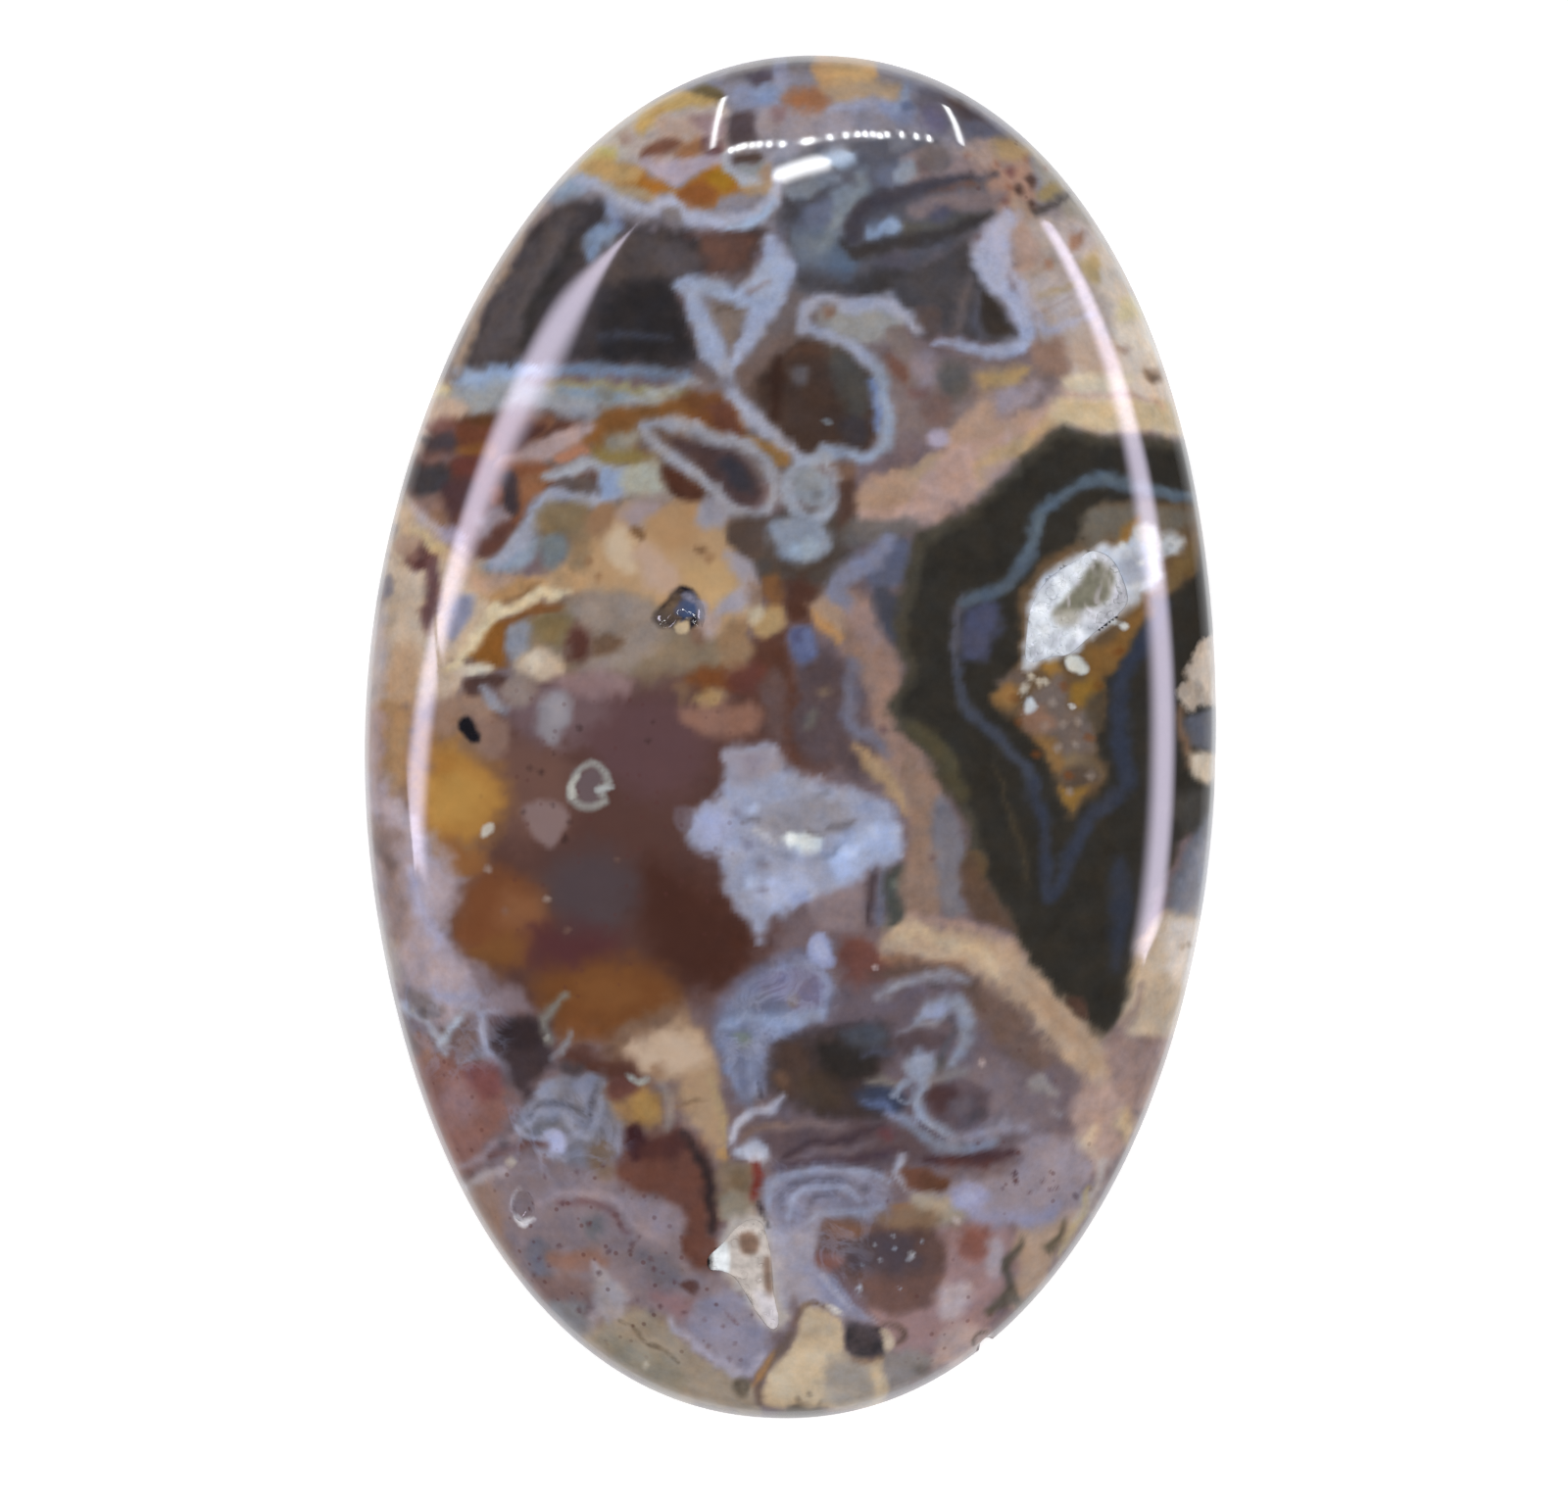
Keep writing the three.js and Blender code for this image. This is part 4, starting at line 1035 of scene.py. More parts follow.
flecks 5c3f47 5 1071,1198 1070,1214 1079,1213 1024,1214 1049,1217 1112,1215 1063,1207 905,1226
flecks c0aeac 7 s3.5 o.8 1002,1084 977,1245 894,986
7f7a8a 8 784,1200 830,1192 880,1196 908,1210 904,1236 864,1252 812,1254 786,1238
vein 8f93a8 9 s5 784,1236,5 786,1212 804,1198 840,1192 880,1196 906,1208,5
vein 50454f 5 s4 o.8 796,1196,3 826,1188 866,1188 900,1192,3
vein 5d5a68 7 s5 o.8 796,1234,3 800,1216 822,1204 856,1204 884,1212,4
vein 9a9eb3 6 s4 806,1242,4 812,1222 834,1212 862,1214 878,1226,3
vein 55505e 5 s4 o.8 824,1234,3 834,1222 852,1222,3
vein 9497aa 7 s5 826,1248,4 846,1238 874,1238 900,1230,4
vein b0a5a2 12 s6 1128,1188,8 1114,1222 1098,1246,8
vein b3a27c 6 s4 o.8 1112,1214,4 1104,1236 1094,1258 1080,1282,4
# Foot of the oval
7d6b5a 6 734,1190 764,1190 772,1220 766,1246 742,1250 732,1226
8a8072 5 736,1224 752,1218 766,1230 758,1244 738,1246
6f5c48 4.6 o.8 744,1196 760,1194 764,1212 748,1214
vein 6f332c 10 s4.6 770,1186,8 772,1204 768,1222,5
vein 2a2224 6 s3 773,1226,4 780,1238 785,1252,4
b4aca8 8 742,1250 780,1240 790,1290 800,1340 788,1358 764,1330 738,1298
vein a8a3ae 12 s8 o.8 790,1256,6 796,1290 802,1326,7
8a8aa2 8 822,1294 846,1302 876,1332 890,1346 862,1340 836,1322
5f4a47 8 842,1250 884,1246 940,1240 962,1262 962,1300 946,1332 900,1336 868,1312 838,1288
52464b 8 856,1268 890,1258 928,1262 936,1290 904,1306 872,1298
7a5a4a 6 o.9 842,1252 866,1248 890,1252 876,1264 850,1266
775551 5 834,1276 848,1278 858,1292 846,1300 832,1290
6e534d 8 o.8 880,1304 930,1306 960,1304 946,1332 904,1334
7a6452 7 o.9 896,1238 940,1232 962,1244 950,1256 910,1252
vein 6b565b 5 s4 848,1292,3 862,1312 878,1332 898,1346,3
vein aca9b8 5 s4 838,1302,3 854,1320 868,1336,3
flecks b2b5c0 7 s3.5 930,1279 876,1316
flecks 9fa3b0 4 o.8 941,1265 909,1260 880,1293 899,1286 894,1270 919,1314 912,1274 927,1284
80564e 8 984,1256 1006,1250 1014,1268 1002,1286 984,1282
b0a0a3 7 956,1320 978,1308 992,1312 984,1334 968,1346 956,1338
ad9793 9 956,1362 990,1350 1006,1362 990,1386 958,1396
a39ba4 7 o.8 1004,1272 1018,1264 1026,1288 1012,1304
vein 575049 10 s5 1044,1268,7 1029,1284,12 1030,1304 1028,1320 1012,1336,12
vein 68625c 8 s5 1030,1322,7 1042,1332 1056,1322,5
vein 5f5648 7 s4.6 1086,1246,4 1083,1262 1070,1274,9
bba78e 5 820,1335 846,1337 862,1352 866,1386 900,1392 900,1432 860,1440 800,1438 776,1432 784,1406 802,1384
 812,1352
c8b69d 8 o.8 790,1396 822,1376 846,1392 838,1424 800,1430 784,1418
9c938b 10 842,1390 886,1386 890,1424 862,1436 842,1424
vein bda98f 9 s4.6 897,1386,6 898,1410 895,1434,6
vein 6b5342 5 s3.5 812,1352,3 820,1335 832,1330 846,1334,3
e0dbd4 3 845,1332 855,1336 857,1342 849,1341
vein 66564f 9 s5 776,1432,6 776,1404 794,1382 806,1360,6
vein 9d7753 7 s4.6 770,1414,4 780,1396 788,1384,3
383437 4 864,1353 884,1350 902,1355 902,1378 886,1384 866,1379
vein 7b6250 5 s4.6 o.8 870,1386,3 886,1388 900,1384,3
vein 54463f 7 s4 900,1349,4 913,1352 921,1362 914,1372,4
c6b49e 4 899,1358 908,1360 913,1374 902,1376
665d54 5 790,1443 808,1432 834,1436 842,1446 812,1452 790,1450
flecks 6a5a4c 5 s3 o.8 826,1422 835,1433 844,1438 814,1428
6b6563 4.6 o.8 934,1392 946,1390 950,1402 938,1406
vein 554b42 4 s3 994,1372,4 997,1364 1010,1359,2
4e3b34 4 1089,1020 1104,1018 1112,1038 1104,1041 1094,1032
6a5a60 4 o.85 688,828 702,822 708,836 704,846 692,846
"""
)


def zone(strength, soft, points):
    """A soft region where a fine texture shows, at a strength from 0 to 1."""
    return filled(points, soft=soft, opacity=strength)


# Dark red dots, pale lace and fine banding: the regions where each shows
SPECKLED = (
    zone(1.0, 25, "500,1190 560,1170 640,1190 700,1260 760,1330 760,1390 700,1390 590,1350 520,1300"),
    zone(0.8, 20, "420,1050 480,1080 520,1140 480,1190 430,1130"),
    zone(0.8, 25, "1010,1150 1100,1150 1120,1200 1080,1240 1010,1240 970,1200"),
    zone(0.8, 20, "930,1290 1010,1290 1010,1360 940,1390 890,1350"),
    zone(0.6, 30, "520,700 700,700 760,800 700,1000 560,1040 500,900"),
    zone(0.7, 15, "955,150 1060,140 1070,205 960,205"),
    zone(0.5, 20, "1000,1020 1080,1060 1100,1120 1010,1110"),
)
LACED = (
    zone(0.8, 15, "740,1040 790,985 835,985 850,1025 790,1065 770,1120 740,1090"),
    zone(0.5, 20, "790,1190 900,1200 900,1240 860,1340 800,1340 780,1250"),
    zone(0.5, 12, "410,1000 500,1010 520,1050 490,1095 430,1090"),
    zone(0.6, 15, "520,1130 600,1120 640,1160 600,1200 530,1190"),
    zone(0.5, 20, "430,850 460,900 440,950 410,900"),
)
BANDED = (
    zone(1.0, 20, "880,540 900,490 1000,440 1090,410 1085,440 1020,490 960,535"),
    zone(0.8, 20, "830,610 880,620 915,680 930,760 960,810 950,930 920,930 900,800 870,700"),
    zone(0.7, 25, "1040,220 1110,220 1190,350 1190,430 1090,430 1090,330"),
    zone(0.7, 20, "955,150 1060,140 1070,205 960,205"),
    zone(0.8, 25, "890,950 1000,960 1110,1060 1150,1110 1090,1110 990,1010"),
    zone(0.6, 25, "1130,980 1225,940 1200,1050 1150,1170 1100,1180 1110,1090"),
    zone(0.5, 30, "480,380 520,280 600,210 700,240 700,380"),
    zone(0.7, 20, "380,520 440,530 470,620 430,720 385,720"),
    zone(0.6, 25, "800,200 880,190 870,290 820,290"),
)
CALM = (
    zone(
        0.8,
        40,
        "540,730 640,690 760,760 720,800 700,860 740,950 700,1010 600,1040 520,1000 470,940 450,800",
    ),
    zone(0.6, 25, "600,520 700,520 760,560 740,600 620,600"),
    zone(0.6, 20, "620,1090 690,1035 720,1060 735,1170 700,1110"),
)


def outline_radius(angle):
    """Radius of the girdle at an angle from +X, in mm."""
    across = np.abs(np.cos(angle - LEAN)) / SHORT_RADIUS
    along = np.abs(np.sin(angle - LEAN)) / LONG_RADIUS
    oval = (across**FULLNESS + along**FULLNESS) ** (-1 / FULLNESS)
    (three, three_turn), (four, four_turn) = THREE_FLATS, FOUR_FLATS
    threes = three * np.cos(3 * (angle - three_turn))
    fours = four * np.cos(4 * (angle - four_turn))
    return oval * (1 + threes + fours)


def round_the_girdle(angle, share):
    """Places in mm at a share of the girdle's radius, before the stone is centred."""
    reach = share * outline_radius(angle)
    return np.stack([reach * np.cos(angle), reach * np.sin(angle)], axis=1)


GIRDLE = round_the_girdle(np.linspace(0, 2 * math.pi, 2000), 1.0)
STONE_MIDDLE = (GIRDLE.max(axis=0) + GIRDLE.min(axis=0)) / 2


def dome_height(share):
    """Height of the dome at a share of the way from the crown to the edge."""
    drop = np.clip(share, 0, 1) ** DOME_SQUARENESS
    return GIRDLE_TOP + (THICKNESS - GIRDLE_TOP) * np.sqrt(1 - drop)


def surface_height(places):
    """Height of the polished surface over places in mm."""
    x, y = (places + STONE_MIDDLE).T
    reach = outline_radius(np.arctan2(y, x)) * (1 - SIDE_DRAFT)
    return dome_height(np.hypot(x, y) / reach)


def on_plan(points):
    """Where points in mm lie on the plan."""
    x, y, z = points.T
    scale = PLAN_SCALE * EYE_RANGE / (EYE_RANGE + PLAN_LEVEL - z)
    return np.stack([PLAN_VIEW[0] + (x - EYE_X) * scale, PLAN_VIEW[1] - (y - EYE_Y) * scale], axis=1)


def off_plan(marks):
    """Places in mm of the polished surface that plan positions show."""
    places = (marks - PLAN_VIEW) * (1, -1) / PLAN_SCALE
    seen = places + (EYE_X, EYE_Y)
    for _ in range(6):
        nearer = (EYE_RANGE + PLAN_LEVEL - surface_height(seen)) / EYE_RANGE
        seen = places * nearer[:, None] + (EYE_X, EYE_Y)
    return seen


# Mouths of the two crystal-lined vugs, how deep each is and how thick its crust in mm, and where
# the crust has no points
SHOULDER_VUG = dict(
    mouth="1115,562 1098,572 1078,584 1062,600 1052,620 1048,645 1048,675 1075,670 1092,667 "
    "1118,645 1146,622 1150,604 1136,572",
    depth=1.0,
    crust=0.9,
    bare="1118,571 1136,583 1135,606 1125,617 1106,624 1076,630 1084,612 1100,594",
)
FOOT_VUG = dict(
    mouth="722,1284 736,1270 750,1254 764,1245 777,1248 783,1264 787,1284 790,1321 795,1349 "
    "788,1357 775,1344 752,1307 738,1298 724,1296",
    depth=0.75,
    crust=0.67,
    bare="754,1264 764,1258 774,1266 772,1278 758,1279",
)
CRUST_GAP = 0.012
POLISH_DEPTH = 0.05

# Bare pits: the outline of each mouth on the plan, and its depth in mm
PITS = (
    dict(mouth="668,632 680,612 693,598 709,606 719,622 716,641 704,634 690,632 680,641", depth=0.32),
    dict(mouth="522,1228 528,1217 538,1216 545,1226 545,1240 537,1247 527,1244", depth=0.4),
)

# The chip in the edge: its middle, half sizes and half height in mm, and its turn
CHIP = dict(x=7.2, y=-22.3, half=(0.46, 0.32), height=1.1, turn=0.7)
CHIP_STEPS, CHIP_STEP = 24, 0.03


def mouth_curve(points):
    """The closed curve of a hollow's mouth on the plan."""
    return smooth_curve(filled(points), steps=12)


def positions(vertices):
    return np.array([vertex.co for vertex in vertices])


def place_vertices(vertices, points):
    for vertex, point in zip(vertices, points.tolist()):
        vertex.co = point


def disc_of(points):
    """Points of a square from -1 to 1 moved smoothly onto the unit disc."""
    x, y = points[:, 0], points[:, 1]
    return np.stack([x * np.sqrt(1 - y**2 / 2), y * np.sqrt(1 - x**2 / 2)], axis=1)


def oval_of(disc, reach):
    """Points of the unit disc spread over the stone's oval, up to a share of its radius."""
    places = disc * (SHORT_RADIUS, LONG_RADIUS)
    angle = np.arctan2(places[:, 1], places[:, 0])
    plain = 1 / np.hypot(np.cos(angle) / SHORT_RADIUS, np.sin(angle) / LONG_RADIUS)
    return places * (reach * outline_radius(angle) / plain)[:, None] - STONE_MIDDLE


# The front grid's cells are about 0.14 mm, a little finer than the stone's smallest flecks
FRONT_CELLS = (220, 352)
BACK_CELLS = (55, 88)
FRONT_REACH = 0.965
BACK_REACH = 0.985
EDGE_RINGS = 8
# The dome's last ring, as an angle above its edge, and a ring on the girdle: its share of the
# radius and its height in mm
LAST_TURN = 0.08
GIRDLE_RING = (0.997, 0.8)
# How near a mouth's edge vertices move onto it, for vugs and for pits, in plan units
VUG_SNAP, PIT_SNAP = 2.4, 2.0
MOUTH_MARGIN = 8.0


def edge_profile():
    """Shares of the girdle's radius and heights, from the dome's grid down to the back."""
    turns = np.linspace(math.acos(FRONT_REACH), LAST_TURN, EDGE_RINGS + 1)[1:]
    dome = [(math.cos(t) * (1 - SIDE_DRAFT), float(dome_height(math.cos(t)))) for t in turns]
    bevel = 1 - BACK_BEVEL / SHORT_RADIUS
    return [*dome, GIRDLE_RING, (1.0, BACK_BEVEL), ((1 + bevel) / 2, BACK_BEVEL / 2), (bevel, 0.0)]


def snap_to_mouth(places, mouth, snap):
    """Moves places near a mouth's edge onto it; returns them, and which lie well inside."""
    spots = on_plan(np.column_stack([places, surface_height(places)]))
    near, distance = signed_distance(spots, filled(mouth), MOUTH_MARGIN)
    edge = off_plan(mouth_curve(mouth)[:, :2])
    on_edge = near[np.abs(distance) < snap]
    gaps = np.linalg.norm(places[on_edge, None, :] - edge[None], axis=2)
    moved = places.copy()
    moved[on_edge] = edge[gaps.argmin(axis=1)]
    inside = near[distance <= -snap]
    return moved, inside, -distance[distance <= -snap] / PLAN_SCALE


def chipped(points):
    """Points with those inside the chip pushed in to its wall."""
    cos, sin = math.cos(CHIP["turn"]), math.sin(CHIP["turn"])
    turn = np.array([[cos, sin], [-sin, cos]])
    inward = -np.array([CHIP["x"], CHIP["y"]]) / math.hypot(CHIP["x"], CHIP["y"])
    for _ in range(CHIP_STEPS):
        local = (points[:, :2] - (CHIP["x"], CHIP["y"])) @ turn.T / CHIP["half"]
        rise = (points[:, 2] - GIRDLE_TOP) / CHIP["height"]
        bitten = (local**2).sum(axis=1) + rise**2 < 1
        points[bitten, :2] += inward * CHIP_STEP
    return points


def stone_form():
    """The dome, girdle, bevel and back of the stone as one closed form, in mm."""
    form = bmesh.new()
    bmesh.ops.create_grid(form, x_segments=FRONT_CELLS[0], y_segments=FRONT_CELLS[1], size=1)
    places = oval_of(disc_of(positions(form.verts)), FRONT_REACH * (1 - SIDE_DRAFT))
    lowered = np.zeros(len(places))
    for hollow in (SHOULDER_VUG, FOOT_VUG):
        places, inside, _ = snap_to_mouth(places, hollow["mouth"], VUG_SNAP)
        lowered[inside] = hollow["depth"]
    for pit in PITS:
        places, inside, inset = snap_to_mouth(places, pit["mouth"], PIT_SNAP)
        lowered[inside] = pit["depth"] * np.sqrt(np.clip(inset / inset.max(), 0, 1))
    place_vertices(form.verts, np.column_stack([places, surface_height(places) - lowered]))
    rim = [edge for edge in form.edges if edge.is_boundary]
    for share, height in edge_profile():
        made = bmesh.ops.extrude_edge_only(form, edges=rim)["geom"]
        rim = [part for part in made if isinstance(part, bmesh.types.BMEdge) and part.is_boundary]
        ring = list({vertex for edge in rim for vertex in edge.verts})
        x, y = (positions(ring)[:, :2] + STONE_MIDDLE).T
        around = round_the_girdle(np.arctan2(y, x), share) - STONE_MIDDLE
        place_vertices(ring, np.column_stack([around, np.full(len(ring), height)]))
    front = set(form.verts)
    bmesh.ops.create_grid(form, x_segments=BACK_CELLS[0], y_segments=BACK_CELLS[1], size=1)
    back = [vertex for vertex in form.verts if vertex not in front]
    bevel = 1 - BACK_BEVEL / SHORT_RADIUS
    flat = oval_of(disc_of(positions(back)), BACK_REACH * bevel)
    place_vertices(back, np.column_stack([flat, np.zeros(len(back))]))
    loose = [edge for edge in form.edges if edge.is_boundary]
    bmesh.ops.bridge_loops(form, edges=loose)
    place_vertices(form.verts, chipped(positions(form.verts)))
    bmesh.ops.recalc_face_normals(form, faces=form.faces)
    return form


def finished_piece(name, form, crease):
    """The form as an object in metres, smooth but for edges sharper than the crease."""
    bmesh.ops.scale(form, vec=(MM, MM, MM), verts=form.verts)
    mesh = bpy.data.meshes.new(name)
    form.to_mesh(mesh)
    form.free()
    mesh.shade_smooth()
    mesh.set_sharp_from_angle(angle=crease)
    piece = bpy.data.objects.new(name, mesh)
    bpy.context.scene.collection.objects.link(piece)
    return piece


def store(piece, name, kind, values):
    """Writes one value per vertex as an attribute that materials read."""
    layer = piece.data.attributes.new(name, kind, "POINT")
    field = "color" if kind == "FLOAT_COLOR" else "vector"
    layer.data.foreach_set(field, np.ascontiguousarray(values, np.float32).ravel())


def store_ground(piece, colours):
    """Gives every vertex its sRGB colour."""
    opaque = np.ones((len(colours), 1))
    store(piece, "ground", "FLOAT_COLOR", np.hstack([to_linear(colours), opaque]))


def plan_of_mesh(mesh):
    """The plan positions of a finished mesh's vertices."""
    points = np.empty(3 * len(mesh.vertices))
    mesh.vertices.foreach_get("co", points)
    return on_plan(points.reshape(-1, 3) / MM)


def paint_markings(piece):
    """Gives the stone its colours and distances; returns how many levels the markings take."""
    places = plan_of_mesh(piece.data)
    store_ground(piece, ground_colours(places))
    levels = marking_levels(places)
    for number, (form, tint) in enumerate(levels):
        store(piece, f"form_{number}", "FLOAT_VECTOR", form)
        store(piece, f"tint_{number}", "FLOAT_COLOR", tint)
    store(piece, "texture", "FLOAT_COLOR", texture_weights(places))
    return len(levels)


# How much a quartz point narrows, how high its tip is in radii, and the share of it in the bed
TAPER, TIP, SUNK = 0.94, 0.8, 0.4


def crystal(form, size, length, place, turn):
    """One six-sided quartz point, standing on its place."""
    made = bmesh.ops.create_cone(
        form, cap_ends=True, segments=6, radius1=size, radius2=size * TAPER, depth=length
    )["verts"]
    tops = [face for face in {f for v in made for f in v.link_faces} if face.normal.z > 0.9]
    tip = bmesh.ops.poke(form, faces=tops, offset=size * TIP)["verts"]
    body = [*made, *tip]
    bmesh.ops.translate(form, vec=(0, 0, -length * SUNK), verts=body)
    bmesh.ops.rotate(form, cent=(0, 0, 0), matrix=turn, verts=body)
    bmesh.ops.translate(form, vec=place, verts=body)


# The crust's grid cell, how far past its rim it is cut, and the gap at which corners merge, in mm
CRUST_CELL, CRUST_CUT, CORNER_GAP = 0.1, 0.05, 0.004
# Lumps of the quartz bed: how far apart and how high they are, in mm
LUMPS = ((0.35, 0.06), (0.15, 0.03))
# How far quartz points lean, in radians, and how far they keep from the rim, in mm
LEANING, RIM_ROOM = 0.42, 0.1


def crust_form(vug, count, sizes, seed):
    """A bed of quartz on the floor of a vug, with points leaning every way, in mm."""
    chance = np.random.default_rng(seed)
    form = bmesh.new()
    mouth = off_plan(mouth_curve(vug["mouth"])[:, :2])
    middle = mouth.mean(axis=0)
    inset = mouth + CRUST_GAP * (middle - mouth) / np.linalg.norm(middle - mouth, axis=1)[:, None]
    low, high = inset.min(axis=0), inset.max(axis=0)
    half = (high - low).max() / 2
    cells = int(2 * half / CRUST_CELL)
    bmesh.ops.create_grid(form, x_segments=cells, y_segments=cells, size=half)
    bmesh.ops.translate(form, vec=(*((low + high) / 2), 0), verts=form.verts)
    bare = off_plan(mouth_curve(vug["bare"])[:, :2])
    curve, bare = (np.column_stack([line, np.zeros(len(line))]) for line in (inset, bare))
    spots = positions(form.verts)[:, :2]
    gap = edge_distance(spots, curve)
    gap = np.where(within(spots, curve), -gap, gap)
    outside = [vertex for vertex, distance in zip(form.verts, gap) if distance > CRUST_CUT]
    bmesh.ops.delete(form, geom=outside, context="VERTS")
    rim = list({v for edge in form.edges if edge.is_boundary for v in edge.verts})
    loose = positions(rim)[:, :2]
    nearest = np.linalg.norm(loose[:, None] - inset[None], axis=2).argmin(axis=1)
    place_vertices(rim, np.column_stack([inset[nearest], np.zeros(len(rim))]))
    bmesh.ops.remove_doubles(form, verts=form.verts, dist=CORNER_GAP)
    top = list(form.verts)
    spots = positions(top)[:, :2]
    lumps = sum(tall * drift(spots, size, seed + n) for n, (size, tall) in enumerate(LUMPS))
    bed = surface_height(spots) - vug["depth"] + CRUST_GAP + vug["crust"] + lumps
    under = bmesh.ops.extrude_face_region(form, geom=form.faces[:])["geom"]
    under = [part for part in under if isinstance(part, bmesh.types.BMVert)]
    spots_under = positions(under)[:, :2]
    floor = surface_height(spots_under) - vug["depth"] + CRUST_GAP
    place_vertices(top, np.column_stack([spots, bed]))
    place_vertices(under, np.column_stack([spots_under, floor]))
    bmesh.ops.recalc_face_normals(form, faces=form.faces)
    placed = 0
    while placed < count:
        spot = chance.uniform(low, high)
        if not within(spot[None], curve)[0] or edge_distance(spot[None], curve)[0] < RIM_ROOM:
            continue
        if within(spot[None], bare)[0]:
            continue
        size = chance.uniform(*sizes)
        lean = chance.normal(0, LEANING), chance.normal(0, LEANING), chance.uniform(0, 3)
        height = float(surface_height(spot[None])[0]) - vug["depth"] + vug["crust"]
        crystal(form, size, size * chance.uniform(1.0, 2.0), (*spot, height), Euler(lean).to_matrix())
        placed += 1
    points = positions(form.verts)
    ceiling = surface_height(points[:, :2]) - POLISH_DEPTH
    points[:, 2] = np.minimum(points[:, 2], ceiling)
    place_vertices(form.verts, points)
    return form


# Sockets of a Mix node set to colours, and the usual soft rise of a Map Range node
MIX_A, MIX_B, MIXED = 6, 7, 2
SMOOTH = {"interpolation_type": "SMOOTHSTEP"}

QUARTZ_IOR = 1.54
# How far apart the features of each pattern in the stone are, in mm
PLUME_LOBES = 0.6
THIN_PATCHES = 1.2
IRON_DOTS = 0.45
LACE_THREADS = 1.6
BAND_SWEEPS = 7.0
CLOUDS = 1.1
HUES = 0.9
CRYSTAL_GRAINS = 0.45
PAPER_FIBRES = 4.0
# Iron oxide that shows as dots, and the chalcedony of the lace
IRON_RED, LACE_PALE = "#5a3634", "#a7abc6"
# Contours in one sweep of the bands, and how much they lighten and darken the stone
BAND_COUNT, BAND_CONTRAST = 150.0, 0.04
# Shifts of red, green and blue at the warmest hue
WARMTH = (0.38, 0.04, -0.42)
# Heights in mm over which the ground bevel turns into the polished dome
POLISHED_FROM, POLISHED_TO = 0.4, 0.7


def new_finish(name):
    """A material with its Principled shader, which starts out bare."""
    material = bpy.data.materials.new(name)
    material.use_nodes = True
    return material, material.node_tree, material.node_tree.nodes["Principled BSDF"]


def add(tree, kind, inputs=None, **settings):
    """Adds a node with its settings; an input is a value, a socket, or a node for its first output."""
    node = tree.nodes.new("ShaderNode" + kind)
    for name, value in settings.items():
        setattr(node, name, value)
    for key, value in (inputs or {}).items():
        if isinstance(value, bpy.types.Node):
            value = value.outputs[0]
        if isinstance(value, bpy.types.NodeSocket):
            tree.links.new(value, node.inputs[key])
        else:
            node.inputs[key].default_value = value
    return node


def per_metre(size):
    """The scale of a pattern whose features are so many mm apart."""
    return 1 / (size * MM)


def lay_over(tree, colour, share, over):
    """Lays a share of one colour over another."""
    inputs = {0: share, MIX_A: colour, MIX_B: over}
    return add(tree, "Mix", inputs, data_type="RGBA").outputs[MIXED]


def lay_level(tree, colour, number, ragged, patchy):
    """Lays one level of markings over a colour, with ragged edges and thin patches."""
    form = add(tree, "Attribute", attribute_name=f"form_{number}").outputs["Vector"]
    tint = add(tree, "Attribute", attribute_name=f"tint_{number}").outputs
    distance, softness, wobble = add(tree, "SeparateXYZ", {0: form}).outputs
    edge = add(tree, "Math", {0: wobble, 1: ragged, 2: distance}, operation="MULTIPLY_ADD")
    share = add(tree, "Math", {0: edge, 1: softness}, operation="DIVIDE")
    cover = add(tree, "MapRange", {"Value": share, "From Min": 1.0, "From Max": -1.0}, **SMOOTH)
    weight = add(tree, "Math", {0: cover, 1: tint["Alpha"]}, operation="MULTIPLY")
    weight = add(tree, "Math", {0: weight, 1: patchy}, operation="MULTIPLY")
    return lay_over(tree, colour, weight, tint["Color"])


def iron_dots(tree, place, strength):
    """How much iron oxide shows: dots about a tenth of a millimetre across, in two cells of five."""
    dots = add(tree, "TexVoronoi", {"Vector": place, "Scale": per_metre(IRON_DOTS)}).outputs
    spread = {"Value": dots["Distance"], "From Min": 0.26, "From Max": 0.12}
    dot = add(tree, "MapRange", spread, **SMOOTH)
    kept = add(tree, "SeparateXYZ", {0: dots["Color"]})
    rare = add(tree, "Math", {0: kept, 1: 0.42}, operation="LESS_THAN")
    for factor in (rare, strength, 0.55):
        dot = add(tree, "Math", {0: dot, 1: factor}, operation="MULTIPLY")
    return dot


def lace(tree, place, strength):
    """How much of the pale lace shows, along the contours of a noise."""
    threads = {
        "Vector": place,
        "Scale": per_metre(LACE_THREADS),
        "Detail": 4.0,
        "Roughness": 0.6,
        "Distortion": 0.6,
    }
    noise = add(tree, "TexNoise", threads)
    noise = add(tree, "Math", {0: noise, 1: 0.5}, operation="SUBTRACT")
    noise = add(tree, "Math", {0: noise}, operation="ABSOLUTE")
    fade = {"Value": noise, "From Max": 0.09, "To Min": 0.32, "To Max": 0.0}
    thread = add(tree, "MapRange", fade, **SMOOTH)
    return add(tree, "Math", {0: thread, 1: strength}, operation="MULTIPLY")


